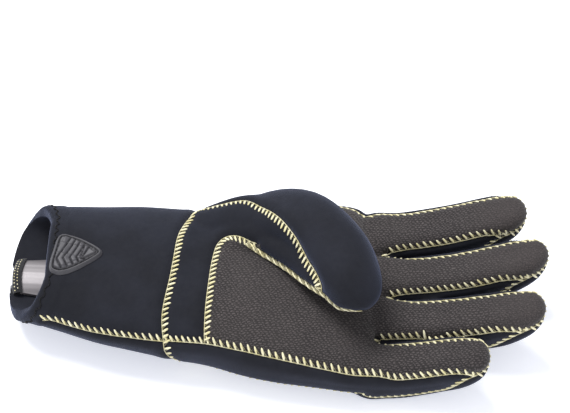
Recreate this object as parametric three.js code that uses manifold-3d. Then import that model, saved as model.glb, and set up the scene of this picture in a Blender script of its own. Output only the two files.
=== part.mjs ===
// A left five-finger diving glove in 5 mm neoprene, lying on its back with the palm up.
// Millimetres. +X runs to the fingertips, +Y to the thumb side, +Z up.
// The shell is a hand form, four fingers and a thumb, each lofted through oval sections,
// and hollow by the thickness of the neoprene. It is cut along its seams into sewn panels.
import * as THREE from "three";
import { mergeVertices } from "three/addons/utils/BufferGeometryUtils.js";
import Module from "manifold-3d";

const wasm = await Module();
wasm.setup();

// Driving dimensions
const wall = 5; // neoprene sheet
const seamGap = 0.3; // clearance between two panels that meet at a seam
const cuffLength = 63; // palm side, from the hem to the wrist seam
const cuffTab = 27; // how much further the back of the cuff reaches than its palm side
const cuffWidth = 75;
const cuffHeight = 41;
const wristWidth = 89;
const palmLength = 103; // wrist seam to the crotch of the index finger
const palmWidth = 104;
const palmHeight = 36;
const zipLift = 7; // how much the back slopes up along the zip, to the open end
const fingerThickness = 24.5;
const sideSeamShare = 0.5; // half height of the side panels, as a share of a finger's half thickness
const restSag = 1.8; // how far the resting back is pressed flat
const thumbLength = 98; // along its middle, from inside the palm to the tip
const thumbWidth = 33;
const thumbThickness = 27;
const zipLength = 108;
const zipWidth = 20;
const tapeThickness = 2.2;
const teethWidth = 5.4;
const teethHeight = 1.5;
const toothPitch = 5;
const teethStart = 4; // from the zip's open end to its first tooth
const sliderPlace = 17; // from the first tooth to the slider's pin
const sliderLength = 12;
const sliderWidth = 8.4;
const sliderHeight = 2.6; // above the surface of the cuff
const sliderTopDrop = 0.5; // clearance between the slider and the pull lying over it
const pullLength = 21;
const pullWidth = 6.6;
const pullThickness = 1.4;
const pinRadius = 0.7;
const pinClearance = 0.3;
const eyeWall = 0.8; // metal round the pull's eye
const eyeWidth = 2.6; // width of the pull at its eye
const earThickness = 1.2; // the slider's two ears hold the pin on both sides of the eye
const earGap = 0.3; // clearance between an ear and the eye
const earRim = 0.7; // metal round the pin
const tongueStart = 9; // from the zip's open end
const tongueLength = 70;
const tongueWidth = 24;
const tongueThickness = 2.4;
const patchLength = 27;
const patchWidth = 24;
const patchThickness = 1.8;
const badgeLength = 33;
const badgeWidth = 31;
const badgeThickness = 2;

// Fingers: length from the crotch to the tip, width, place of the root across the palm as a
// share of the palm width, drift of the tip to the side and its bow as shares of the length,
// rise of the tip, and how far the crotch lies behind that of the index finger.
const fingers = [
  { name: "index", length: 79, width: 27.5, root: 0.37, drift: 0.09, bow: -0.03, rise: 17, back: 0 },
  { name: "middle", length: 85, width: 23.5, root: 0.098, drift: -0.07, bow: 0.05, rise: 20, back: 0 },
  { name: "ring", length: 81, width: 23.5, root: -0.156, drift: -0.1, bow: 0.02, rise: 20, back: 0.5 },
  { name: "little", length: 59, width: 21, root: -0.392, drift: -0.01, bow: -0.1, rise: 15, back: 8 },
];

// Places that follow from the sizes
const wristX = -51;
const hemX = wristX - cuffLength;
const knuckleX = wristX + palmLength;
const tabX = hemX - cuffTab;
const splitZ = palmHeight * 0.52; // height of the meeting of the wrist seam's palm and back stretches
const farOut = 400; // reach of a cutting block past the glove

// Sections of the glove from the open end to the knuckles. "along" is a share of the cuff's length
// from the hem, or of the palm's length from the wrist seam. "middle" is a share of the palm width,
// "width" of the cuff, wrist or palm width, and "top" of the cuff's or the palm's height.
const bodyRows = [
  { part: "cuff", along: -0.62, middle: 0.145, width: 0.95, top: 0.99, square: 2.25 },
  { part: "cuff", along: -0.25, middle: 0.15, width: 0.965, top: 1.0, square: 2.25 },
  { part: "cuff", along: 0.05, middle: 0.148, width: 0.985, top: 1.0, square: 2.25 },
  { part: "cuff", along: 0.4, middle: 0.12, width: 1.08, top: 0.99, square: 2.25 },
  { part: "cuff", along: 0.75, middle: 0.095, width: 1.15, top: 0.97, square: 2.3 },
  { part: "wrist", along: 0.0, middle: 0.08, width: 1.0, top: 1.05, square: 2.35 },
  { part: "wrist", along: 0.16, middle: 0.06, width: 1.012, top: 1.03, square: 2.4 },
  { part: "palm", along: 0.36, middle: 0.05, width: 0.91, top: 1.0, square: 2.5 },
  { part: "palm", along: 0.6, middle: 0.06, width: 1.02, top: 0.94, square: 2.6 },
  { part: "palm", along: 0.8, middle: 0.028, width: 1.023, top: 0.86, square: 2.6 },
  { part: "palm", along: 0.91, middle: 0.0, width: 0.99, top: 0.76, square: 2.5 },
  { part: "palm", along: 0.96, middle: -0.004, width: 0.93, top: 0.6, square: 2.4 },
];

// A finger's sections: place along it from its crotch, and its width and thickness there.
const fingerRows = [
  { along: -0.42, width: 0.7, thickness: 0.7 },
  { along: -0.16, width: 0.98, thickness: 0.96 },
  { along: 0.02, width: 1.08, thickness: 1.03 },
  { along: 0.14, width: 1.0, thickness: 1.02 },
  { along: 0.4, width: 0.98, thickness: 1.0 },
  { along: 0.66, width: 0.97, thickness: 0.98 },
  { along: 0.82, width: 0.9, thickness: 0.92 },
  { along: 0.92, width: 0.73, thickness: 0.77 },
  { along: 0.98, width: 0.42, thickness: 0.46 },
  { along: 1.0, width: 0.12, thickness: 0.14 },
];

// The thumb's middle line and sections. x, y and z are shares of the thumb's length, measured
// from the middle of the palm at the wrist seam; it folds over the palm towards the ring finger.
const thumbRows = [
  { x: 0.14, y: 0.16, z: 0.21, width: 0.86, thickness: 0.8 },
  { x: 0.34, y: 0.27, z: 0.29, width: 1.0, thickness: 0.98 },
  { x: 0.51, y: 0.31, z: 0.375, width: 1.04, thickness: 1.04 },
  { x: 0.655, y: 0.25, z: 0.45, width: 1.04, thickness: 1.04 },
  { x: 0.77, y: 0.115, z: 0.49, width: 1.0, thickness: 1.02 },
  { x: 0.86, y: -0.05, z: 0.5, width: 0.96, thickness: 0.98 },
  { x: 0.905, y: -0.17, z: 0.485, width: 0.84, thickness: 0.88 },
  { x: 0.93, y: -0.245, z: 0.475, width: 0.6, thickness: 0.62 },
  { x: 0.94, y: -0.285, z: 0.465, width: 0.2, thickness: 0.22 },
];

// Sides of the faceted sections, and how boxy they are: 2 is an ellipse.
const bodySides = 28;
const fingerSides = 16;
const thumbSides = 16;
const fingerSquare = 2.5;
const thumbSquare = 2.3;
const leastHalf = 0.4; // a section near a tip never gets narrower than this half size

// Closed meshes and solids

function solidOf(geometry) {
  const bare = geometry.clone();
  bare.deleteAttribute("normal");
  bare.deleteAttribute("uv");
  const merged = mergeVertices(bare, 1e-4);
  return new wasm.Manifold(
    new wasm.Mesh({
      numProp: 3,
      vertProperties: new Float32Array(merged.attributes.position.array),
      triVerts: new Uint32Array(merged.index.array),
    }),
  );
}

function meshOf(solid) {
  const made = solid.getMesh();
  const geometry = new THREE.BufferGeometry();
  geometry.setAttribute("position", new THREE.BufferAttribute(new Float32Array(made.vertProperties), 3));
  geometry.setIndex(new THREE.BufferAttribute(new Uint32Array(made.triVerts), 1));
  geometry.computeVertexNormals();
  return geometry;
}

const join = (...solids) => solids.reduce((a, b) => a.add(b));

function signedVolume(points, faces) {
  return faces.reduce((sum, [a, b, c]) => sum + points[a].dot(points[b].clone().cross(points[c])), 0);
}

// A solid from points and triangles that close on themselves, turned to face out.
function closed(points, faces) {
  const turned = signedVolume(points, faces) < 0 ? faces.map(([a, b, c]) => [a, c, b]) : faces;
  const geometry = new THREE.BufferGeometry().setFromPoints(points);
  geometry.setIndex(turned.flat());
  return solidOf(geometry);
}

// The faces of a skin through rings of equally many points.
function skinFaces(rings) {
  const sides = rings[0].length;
  const faces = [];
  for (let r = 0; r + 1 < rings.length; r++)
    for (let i = 0; i < sides; i++) {
      const j = (i + 1) % sides;
      const [a, b, c, d] = [r * sides + i, r * sides + j, (r + 1) * sides + j, (r + 1) * sides + i];
      faces.push([a, b, c], [a, c, d]);
    }
  return faces;
}

// A solid through rings, closed by a fan over each end.
function loft(rings) {
  const sides = rings[0].length;
  const points = rings.flat();
  const faces = skinFaces(rings);
  for (const [ring, first] of [[rings[0], 0], [rings.at(-1), (rings.length - 1) * sides]]) {
    const hub = points.length;
    points.push(ring.reduce((sum, p) => sum.add(p), new THREE.Vector3()).divideScalar(sides));
    for (let i = 0; i < sides; i++) {
      const j = (i + 1) % sides;
      faces.push(first === 0 ? [hub, first + j, first + i] : [hub, first + i, first + j]);
    }
  }
  return closed(points, faces);
}

// A point of an oval of half sizes a and b.
function ovalPoint(turn, a, b, square) {
  const [c, s] = [Math.cos(turn), Math.sin(turn)];
  return [
    a * Math.sign(c) * Math.abs(c) ** (2 / square),
    b * Math.sign(s) * Math.abs(s) ** (2 / square),
  ];
}

const turns = (sides) => Array.from({ length: sides }, (_, i) => ((i + 0.5) * 2 * Math.PI) / sides);

// An outline of [x, y] points, extruded from one height to another.
function prism(outline, low, high) {
  const shape = new THREE.Shape(outline.map(([x, y]) => new THREE.Vector2(x, y)));
  const geometry = new THREE.ExtrudeGeometry(shape, { depth: high - low, bevelEnabled: false });
  return solidOf(geometry.translate(0, 0, low));
}

// A side view of [x, z] points, extruded right across the glove.
function crosswise(outline) {
  const shape = new THREE.Shape(outline.map(([x, z]) => new THREE.Vector2(x, z)));
  const geometry = new THREE.ExtrudeGeometry(shape, { depth: 2 * farOut, bevelEnabled: false });
  return solidOf(geometry.rotateX(Math.PI / 2).translate(0, farOut, 0));
}

// The hollow hand form. "grow" moves every surface out, or in when it is negative.

// The back of the glove slopes in a straight line along the zip, down to the resting hand.
const zipStartX = tabX + 1;
const zipTilt = Math.atan(zipLift / zipLength);
const slopeEndX = zipStartX + 1.075 * zipLength;
const backZ = (x) => (slopeEndX - x) * Math.tan(zipTilt);

function bodyStation(row) {
  const cuff = row.part === "cuff";
  const x = cuff ? hemX + row.along * cuffLength : wristX + row.along * palmLength;
  const width = { cuff: cuffWidth, wrist: wristWidth, palm: palmWidth }[row.part];
  return {
    x,
    middle: row.middle * palmWidth,
    half: (row.width * width) / 2,
    top: row.top * (cuff ? cuffHeight : palmHeight),
    low: row.part === "palm" ? -restSag : backZ(x),
    square: row.square,
  };
}

function bodyForm(grow) {
  const stations = bodyRows.map(bodyStation);
  stations[0].x -= Math.max(-grow, 0); // the hollow runs out past the open end
  stations.at(-1).x += grow;
  stations.at(-2).x += grow;
  return loft(
    stations.map((s) => {
      const [half, rise] = [s.half + grow, (s.top - s.low) / 2 + grow];
      const centre = (s.top + s.low) / 2;
      return turns(bodySides).map((turn) => {
        const [u, v] = ovalPoint(turn, half, rise, s.square);
        return new THREE.Vector3(s.x, s.middle + u, Math.max(centre + v, -grow));
      });
    }),
  );
}

// Where a finger's middle line lies across the palm, and its height, at a share of its length.
const crotchX = (f) => knuckleX - f.back;
const rootTurn = 0.4; // inside the palm the fingers' middle lines turn in towards the wrist
const fingerZ = (f, t) => (fingerThickness - restSag) / 2 + f.rise * Math.max(t, 0) ** 2;
function fingerY(f, t) {
  if (t < 0) return f.root * palmWidth * (1 + rootTurn * t);
  return f.root * palmWidth + f.length * (f.drift * t + f.bow * t * t);
}

function fingerForm(f, grow) {
  const reach = f.length + grow;
  return loft(
    fingerRows.map((row) => {
      const t = (row.along * reach) / f.length;
      const half = Math.max((row.width * (f.width + 2 * grow)) / 2, leastHalf);
      const rise = Math.max((row.thickness * (fingerThickness + 2 * grow)) / 2, leastHalf);
      return turns(fingerSides).map((turn) => {
        const [u, v] = ovalPoint(turn, half, rise, fingerSquare);
        return new THREE.Vector3(
          crotchX(f) + t * f.length,
          fingerY(f, t) + u,
          Math.max(fingerZ(f, t) + v, -grow),
        );
      });
    }),
  );
}

const thumbAnchor = [wristX, 0.03 * palmWidth];
function thumbPoint({ x, y, z }) {
  return new THREE.Vector3(x, y, z).multiplyScalar(thumbLength).add(new THREE.Vector3(...thumbAnchor, 0));
}

function thumbForm(grow) {
  const path = thumbRows.map(thumbPoint);
  const last = path.length - 1;
  return loft(
    thumbRows.map((row, i) => {
      const ahead = path[Math.min(i + 1, last)].clone().sub(path[Math.max(i - 1, 0)]).normalize();
      const side = new THREE.Vector3(0, 0, 1).cross(ahead).normalize();
      const up = ahead.clone().cross(side);
      const half = Math.max((row.width * (thumbWidth + 2 * grow)) / 2, leastHalf);
      const rise = Math.max((row.thickness * (thumbThickness + 2 * grow)) / 2, leastHalf);
      const centre = path[i].clone().addScaledVector(ahead, i === last ? grow : 0);
      return turns(thumbSides).map((turn) => {
        const [u, v] = ovalPoint(turn, half, rise, thumbSquare);
        return centre.clone().addScaledVector(side, u).addScaledVector(up, v);
      });
    }),
  );
}

const handForm = (grow) => join(bodyForm(grow), ...fingers.map((f) => fingerForm(f, grow)));

const hollow = join(handForm(-wall), thumbForm(-wall));
const wholeShell = join(handForm(0), thumbForm(0)).subtract(hollow);

// Seam lines, as [x, y] rows. A line is a row of shares from an anchor; "shifted" moves a line
// sideways, to its left when the amount is positive, so that two panels keep the seam gap.

const placed = (rows, anchor, lengthX, lengthY) =>
  rows.map(([x, y]) => [anchor[0] + x * lengthX, anchor[1] + y * lengthY]);

function shifted(line, amount) {
  return line.map(([x, y], i) => {
    const [ax, ay] = line[Math.max(i - 1, 0)];
    const [bx, by] = line[Math.min(i + 1, line.length - 1)];
    const length = Math.hypot(bx - ax, by - ay);
    return [x - (amount * (by - ay)) / length, y + (amount * (bx - ax)) / length];
  });
}

// A height line [x, z] read at x, straight between its points.
function heightAt(line, x) {
  const i = line.findIndex(([px]) => px > x);
  if (i < 0) return line.at(-1)[1];
  if (i === 0) return line[0][1];
  const [[ax, az], [bx, bz]] = [line[i - 1], line[i]];
  return az + ((x - ax) / (bx - ax)) * (bz - az);
}

// The wrist seam, from the little finger's side to the thumb's, on the palm and on the back.
const wristSeamPalm = placed(
  [
    [-0.04, -0.36], [-0.05, -0.23], [-0.04, -0.14], [-0.02, -0.03],
    [-0.005, 0.1], [0.01, 0.24], [0.042, 0.34], [0.09, 0.46],
  ],
  [wristX, 0], palmLength, palmWidth,
);
const wristSeamBack = placed(
  [
    [-0.04, -0.36], [0.11, -0.25], [0.25, -0.17], [0.34, -0.04],
    [0.37, 0.13], [0.353, 0.22], [0.31, 0.32], [0.09, 0.46],
  ],
  [wristX, 0], palmLength, palmWidth,
);

// The edge of the palm fabric: up beside the wrist band, round the root of the thumb, then hidden
// under the thumb to the index finger's side.
const palmEdge = placed(
  [
    [0.152, -0.36], [0.152, -0.2], [0.165, -0.05], [0.18, 0.08], [0.2, 0.18], [0.225, 0.225],
    [0.27, 0.25], [0.34, 0.27], [0.44, 0.31], [0.56, 0.4], [0.66, 0.52], [0.7, 0.7],
  ],
  [wristX, 0], palmLength, palmWidth,
);

// The seam along the thumb between its inner band and its outer panel.
const thumbSeam = placed(
  [
    [0.05, 0.6], [0.092, 0.45], [0.214, 0.443], [0.357, 0.393], [0.436, 0.308], [0.513, 0.216],
    [0.589, 0.11], [0.672, -0.047], [0.72, -0.137], [0.745, -0.22], [0.77, -0.42],
  ],
  thumbAnchor, thumbLength, thumbLength,
);

// Everything to the left (-X) of a line that runs from low y to high y, over all heights.
function leftOf(line, low = -farOut, high = farOut) {
  const [first, last] = [line[0], line.at(-1)];
  const block = [[-farOut, -farOut], [first[0], -farOut], ...line, [last[0], farOut], [-farOut, farOut]];
  return prism(block, low, high);
}

// Side panels lie between two seam surfaces, which meet at each fingertip. Rows are [share of the
// palm length from the wrist seam, share of the palm height], up to the crotches.
const closeFrom = 0.7;
const closeAt = 0.95;
const palmSeamRows = [[-0.2, 0.775], [0.16, 0.775], [0.36, 0.735], [0.56, 0.665], [0.76, 0.6]];
const backSeamRows = [[0, 0.24], [0.9, 0.24]];

function seamHeight(f, x, side) {
  const t = (x - crotchX(f)) / f.length;
  const half = (sideSeamShare * fingerThickness) / 2;
  const open = Math.min(Math.max((closeAt - t) / (closeAt - closeFrom), 0), 1);
  if (t >= 0) return fingerZ(f, t) + side * half * open;
  const rows = placed(side > 0 ? palmSeamRows : backSeamRows, [wristX, 0], palmLength, palmHeight);
  return heightAt([...rows, [crotchX(f), fingerZ(f, 0) + side * half]], x);
}

// The side boundaries of a finger's zone at x, halfway to its neighbours.
function zoneEdges(k, x) {
  const between = (a, b) => {
    const [ta, tb] = [a, b].map((f) => Math.max((x - crotchX(f)) / f.length, 0));
    return (fingerY(a, ta) - a.width / 2 + fingerY(b, tb) + b.width / 2) / 2;
  };
  const upper = k === 0 ? farOut : between(fingers[k - 1], fingers[k]);
  const lower = k === fingers.length - 1 ? -farOut : between(fingers[k], fingers[k + 1]);
  return [upper, lower];
}

// All that lies under a seam surface, moved up by "lift".
const seamSteps = 20;
const zoneEdge = 0.05; // half width of the step between two zones
function underSeam(side, lift) {
  const from = wristX - 0.4 * palmLength;
  const to = knuckleX + 1.35 * Math.max(...fingers.map((f) => f.length));
  const xs = Array.from({ length: seamSteps + 1 }, (_, i) => from + ((to - from) * i) / seamSteps);
  const tops = xs.map((x) =>
    fingers.flatMap((f, k) => {
      const z = seamHeight(f, x, side) + lift;
      const [upper, lower] = zoneEdges(k, x);
      return [new THREE.Vector3(x, upper - zoneEdge, z), new THREE.Vector3(x, lower + zoneEdge, z)];
    }),
  );
  const columns = tops[0].length;
  const rings = tops.map((row) => [
    ...row,
    ...row.map((p) => new THREE.Vector3(p.x, p.y, -farOut)).reverse(),
  ]);
  return sheetLoft(rings, columns);
}

// A skin through rings whose ends are closed by a strip between the top and the bottom row.
function sheetLoft(rings, columns) {
  const sides = 2 * columns;
  const faces = skinFaces(rings);
  for (const [first, turn] of [[0, true], [(rings.length - 1) * sides, false]])
    for (let i = 0; i + 1 < columns; i++) {
      const [a, b, c, d] = [first + i, first + i + 1, first + sides - 2 - i, first + sides - 1 - i];
      faces.push(...(turn ? [[a, c, b], [a, d, c]] : [[a, b, c], [a, c, d]]));
    }
  return closed(rings.flat(), faces);
}

// Cuff and hand part at the wrist seam.
const halfGap = seamGap / 2;
function cuffSide(amount) {
  const palmStretch = leftOf(shifted(wristSeamPalm, amount), splitZ, farOut);
  return palmStretch.add(leftOf(shifted(wristSeamBack, amount), -farOut, splitZ));
}

const handShell = wholeShell.subtract(cuffSide(-halfGap));
const palmLayer = handShell.subtract(underSeam(1, halfGap));
const backLayer = handShell.intersect(underSeam(-1, -halfGap));
const sideLayer = handShell.intersect(underSeam(1, -halfGap)).subtract(underSeam(-1, halfGap));

const thumbOuter = thumbForm(0);
const thumbRoom = thumbForm(seamGap);
const thumbWall = handShell.intersect(thumbOuter);
const byTheThumb = join(palmLayer.intersect(leftOf(shifted(palmEdge, halfGap))), thumbWall);

const palmPanel = palmLayer.subtract(leftOf(shifted(palmEdge, -halfGap))).subtract(thumbRoom);
const bandEdge = thumbSeam.toReversed();
const innerBand = byTheThumb.intersect(leftOf(shifted(bandEdge, halfGap)));
const outerPanel = byTheThumb.subtract(leftOf(shifted(bandEdge, -halfGap)));

// The side layer parts along the middle lines of the fingers. Behind its crotch such a line first
// runs straight, and then turns in to the middle of the hollow: shares of the palm's length behind
// the crotch, and of the finger's place across the palm.
const behindCrotch = [{ back: 0.35, place: 0.2 }, { back: 0.15, place: 1 }];
function middleLine(f, amount) {
  const x = crotchX(f);
  const rows = [
    ...behindCrotch.map(({ back, place }) => [x - back * palmLength, place * fingerY(f, 0) + amount]),
    ...[0, 0.3, 0.6, 0.8, 1].map((t) => [x + t * f.length, fingerY(f, t) + amount]),
  ];
  return [[-farOut, rows[0][1]], ...rows, [farOut, rows.at(-1)[1]]];
}
const aboveMiddle = (f, amount) =>
  prism([...middleLine(f, amount), [farOut, farOut], [-farOut, farOut]], -farOut, farOut);

const sideWalls = sideLayer.subtract(thumbRoom);
const sidePanels = [["index_side_panel", sideWalls.intersect(aboveMiddle(fingers[0], halfGap))]];
for (let k = 0; k + 1 < fingers.length; k++) {
  const between = sideWalls
    .subtract(aboveMiddle(fingers[k], -halfGap))
    .intersect(aboveMiddle(fingers[k + 1], halfGap));
  sidePanels.push([`gusset_${fingers[k].name}_${fingers[k + 1].name}`, between]);
}
sidePanels.push(["little_side_panel", sideWalls.subtract(aboveMiddle(fingers.at(-1), -halfGap))]);

// The open end of the cuff, in side view: shares of the tab's length past the hem, and of the
// cuff's height. The palm side ends at the hem and the back reaches on to the tab.
const openEnd = [
  [0.06, 1.2], [0.06, 0.96], [0.2, 0.86], [0.38, 0.7],
  [0.62, 0.46], [0.82, 0.27], [1, 0.12], [1, -1.2],
];
const endLine = openEnd.map(([x, z]) => [hemX - x * cuffTab, z * cuffHeight]);
const beyondEnd = crosswise([[-farOut, endLine[0][1]], ...endLine, [-farOut, endLine.at(-1)[1]]]);

// The zip lies in a straight line on the sloping back of the cuff. Its own frame has +X along the
// zip to the fingers, +Z into the glove, and its origin on the surface at the cuff's end.
const zipY = 0.154 * palmWidth;
const zipOrigin = new THREE.Vector3(zipStartX, zipY, backZ(zipStartX));
const zipFrame = new THREE.Matrix4().makeRotationY(zipTilt).setPosition(zipOrigin);
const toZip = (solid) => solidOf(meshOf(solid).applyMatrix4(zipFrame));

const mirrored = (edge) => edge.map(([x, y]) => [x, -y]).reverse();

// An outline along the zip, square at the open end and round at the inner one.
const arcSteps = 8;
function roundEnded(start, end, width) {
  const radius = width / 2;
  const arc = Array.from({ length: arcSteps + 1 }, (_, i) => {
    const turn = -Math.PI / 2 + (i * Math.PI) / arcSteps;
    return [end - radius + radius * Math.cos(turn), radius * Math.sin(turn)];
  });
  return [[start, -radius], ...arc, [start, radius]];
}

const teethSink = teethHeight + seamGap; // the tape lies this deep, so that the teeth come flush
const zipSlot = toZip(prism(roundEnded(-farOut, zipLength, zipWidth), -wall, 2 * wall));
const cuff = wholeShell.intersect(cuffSide(halfGap)).subtract(beyondEnd).subtract(zipSlot);

const tapeOutline = roundEnded(-cuffTab, zipLength - seamGap, zipWidth - 2 * seamGap);
const tape = toZip(prism(tapeOutline, teethSink, teethSink + tapeThickness)).subtract(beyondEnd);

// A row of teeth: a strip with a notch between each two teeth, on both sides. A tooth's outline is
// [share of the pitch, share of half the width].
const toothRows = [[0, 1], [0.55, 1], [0.6, 0.68], [0.95, 0.68]];
function teethOutline() {
  const room = zipLength - zipWidth / 2 - teethStart;
  const count = Math.floor(room / toothPitch);
  const edge = Array.from({ length: count }, (_, i) =>
    placed(toothRows, [teethStart + i * toothPitch, 0], toothPitch, teethWidth / 2),
  ).flat();
  return [...edge, ...mirrored(edge)];
}

// Slider: a waisted body with two ears that hold the pull's pin. Its outline is [share of half
// its length, share of half its width].
const sliderX = teethStart + sliderPlace;
const pinHeight = -(sliderHeight + sliderTopDrop + pullThickness / 2);
const eyeRadius = pinRadius + pinClearance;
const eyeOuter = eyeRadius + eyeWall;
const sliderRows = [[-1, 0.62], [-0.5, 0.8], [0.45, 1], [1, 0.86]];
const pinSides = 12;
const eyeSides = 16;

function cylinderAcross(radius, width, z, sides) {
  return solidOf(new THREE.CylinderGeometry(radius, radius, width, sides).translate(0, 0, z));
}
function block(x0, x1, width, z0, z1) {
  const geometry = new THREE.BoxGeometry(x1 - x0, width, z1 - z0);
  return solidOf(geometry.translate((x0 + x1) / 2, 0, (z0 + z1) / 2));
}

function sliderSolid() {
  const edge = placed(sliderRows, [0, 0], sliderLength / 2, sliderWidth / 2);
  const body = prism([...edge, ...mirrored(edge)], -sliderHeight, -seamGap);
  const eyeRoom = eyeWidth + 2 * earGap;
  const pocketHalf = eyeOuter + pinClearance;
  const pocket = block(-pocketHalf, pocketHalf, eyeRoom, -2 * sliderHeight, pinHeight + pocketHalf);
  const earHalf = pinRadius + earRim;
  const ears = [-1, 1].map((side) =>
    join(
      cylinderAcross(earHalf, earThickness, pinHeight, pinSides),
      block(-earHalf, earHalf, earThickness, pinHeight, -0.8 * sliderHeight),
    ).translate([0, (side * (eyeRoom + earThickness)) / 2, 0]),
  );
  const pin = cylinderAcross(pinRadius, eyeRoom + earThickness, pinHeight, pinSides);
  return join(body.subtract(pocket), ...ears, pin);
}

// Pull: an eye round the pin and a tapered tab with a slot, lying towards the open end. Its rows
// are shares of its length, and of its width from the shoulder on.
const neckAt = 0.19;
const shoulderRows = [[-0.286, 0.8], [-0.905, 1], [-1, 0.6]];
const pullSlot = { from: -0.848, to: -0.39, width: 0.36 };

function pullSolid() {
  const neck = [[eyeOuter * 0.4, eyeWidth / 2], [-neckAt * pullLength, eyeWidth / 2]];
  const edge = [...neck, ...placed(shoulderRows, [0, 0], pullLength, pullWidth / 2)];
  const tab = prism([...edge, ...mirrored(edge)], -pullThickness / 2, pullThickness / 2);
  const { from, to, width } = pullSlot;
  const slot = block(from * pullLength, to * pullLength, width * pullWidth, -pullThickness, pullThickness);
  const eye = cylinderAcross(eyeOuter, eyeWidth, 0, eyeSides);
  const bore = cylinderAcross(eyeRadius, eyeWidth * 2, 0, eyeSides);
  return join(tab, eye).subtract(bore).subtract(slot);
}

// The lining tongue behind the zip follows the inside of the cuff.
const tongueTop = wall + seamGap;
const tongueOutline = roundEnded(tongueStart, tongueStart + tongueLength, tongueWidth);
const tongue = toZip(prism(tongueOutline, tongueTop, tongueTop + tongueThickness))
  .intersect(bodyForm(-tongueTop))
  .subtract(beyondEnd);

// Rubber patch on the palm side of the cuff, and badge on the back of the hand, as shares of
// their length and width round their middle.
const patchRows = [
  [-0.5, -0.16], [-0.42, 0.41], [-0.07, 0.5], [0.4, 0.25],
  [0.5, 0.03], [0.09, -0.36], [-0.27, -0.5],
];
const badgeRows = [
  [-0.5, -0.3], [-0.3, -0.48], [-0.13, -0.5], [0.5, 0.05],
  [0.5, 0.12], [-0.31, 0.5], [-0.5, 0.38],
];
const patchAt = [hemX + 0.52 * patchLength, 0.1 * palmWidth];
const badgeAt = [wristX + 0.63 * palmLength, 0.154 * palmWidth];

const patchOutline = placed(patchRows, patchAt, patchLength, patchWidth);
const cuffPatch = prism(patchOutline, splitZ, farOut)
  .intersect(bodyForm(seamGap + patchThickness))
  .subtract(bodyForm(seamGap));

const bedRoom = 2.4 * seamGap; // how much longer and wider the badge's bed is
const badge = prism(placed(badgeRows, badgeAt, badgeLength, badgeWidth), 0, badgeThickness);
const badgeBed = placed(badgeRows, badgeAt, badgeLength + bedRoom, badgeWidth + bedRoom);
const backPanel = backLayer.subtract(prism(badgeBed, -wall, badgeThickness + seamGap));

// The assembly

function finish(color, roughness, metalness = 0) {
  return new THREE.MeshStandardMaterial({ color, roughness, metalness });
}
const neoprene = finish(0x14171f, 0.85);
const gripFabric = finish(0x35332f, 0.9);
const silverLining = finish(0xb9bcbf, 0.5);
const rubber = finish(0x1c1d1f, 0.55);
const gunmetal = finish(0x5c5e62, 0.35, 1);
const zipTape = finish(0x0d0e11, 0.9);

function part(name, solid, material) {
  const mesh = new THREE.Mesh(meshOf(solid), material);
  mesh.name = name;
  return mesh;
}

const glove = new THREE.Group();
glove.add(
  part("palm_panel", palmPanel, gripFabric),
  part("back_panel", backPanel, neoprene),
  part("thumb_outer_panel", outerPanel, neoprene),
  part("thumb_inner_band", innerBand, neoprene),
  ...sidePanels.map(([name, solid]) => part(name, solid, neoprene)),
  part("cuff", cuff, neoprene),
  part("zip_tape", tape, zipTape),
  part("zip_tongue", tongue, silverLining),
  part("cuff_patch", cuffPatch, rubber),
  part("back_badge", badge, rubber),
);

const zip = new THREE.Group();
zip.rotation.y = zipTilt;
zip.position.copy(zipOrigin);
const slider = part("zip_slider", sliderSolid(), gunmetal);
slider.position.x = sliderX;
const pull = part("zip_pull", pullSolid(), gunmetal);
pull.position.set(sliderX, 0, pinHeight);
zip.add(
  part("zip_teeth", prism(teethOutline(), seamGap / 2, teethSink - seamGap), gunmetal),
  slider,
  pull,
);
glove.add(zip);

// The origin is on the resting surface, under the middle of the glove.
const box = new THREE.Box3().setFromObject(glove, true);
glove.position.set(-(box.min.x + box.max.x) / 2, -(box.min.y + box.max.y) / 2, -box.min.z);

export default glove;
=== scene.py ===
# A left five-finger diving glove in 5 mm neoprene, lying on its back with the palm up: its sewn
# panels, the overlocked thread, the ridged patch, the badge, the zip and the lining tongue.
import math
import random

import bmesh
import bpy
import numpy as np
from mathutils import Matrix, Vector
from mathutils.bvhtree import BVHTree
from mathutils.kdtree import KDTree


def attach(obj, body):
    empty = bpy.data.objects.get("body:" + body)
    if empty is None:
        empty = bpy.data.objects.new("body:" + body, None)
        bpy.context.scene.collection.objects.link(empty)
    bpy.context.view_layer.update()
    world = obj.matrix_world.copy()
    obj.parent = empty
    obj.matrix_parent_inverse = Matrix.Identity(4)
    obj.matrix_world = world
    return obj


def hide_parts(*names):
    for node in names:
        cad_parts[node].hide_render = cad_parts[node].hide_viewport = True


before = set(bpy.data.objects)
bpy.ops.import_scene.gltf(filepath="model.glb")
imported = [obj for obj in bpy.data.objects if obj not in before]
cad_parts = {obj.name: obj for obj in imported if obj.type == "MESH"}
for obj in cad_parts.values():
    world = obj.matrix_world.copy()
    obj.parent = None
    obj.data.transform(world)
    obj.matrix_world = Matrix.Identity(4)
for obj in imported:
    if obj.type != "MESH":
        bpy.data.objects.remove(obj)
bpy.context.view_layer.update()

# Sizes in millimetres, in the hand's own frame: +X to the fingertips, +Y to the thumb, +Z up
HAND_ORIGIN = Vector((1.646, -2.250, 0.0))  # where that frame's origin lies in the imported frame
MM = 0.001
TO_FRAME = Matrix.Scale(MM, 4) @ Matrix.Translation(HAND_ORIGIN)

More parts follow.
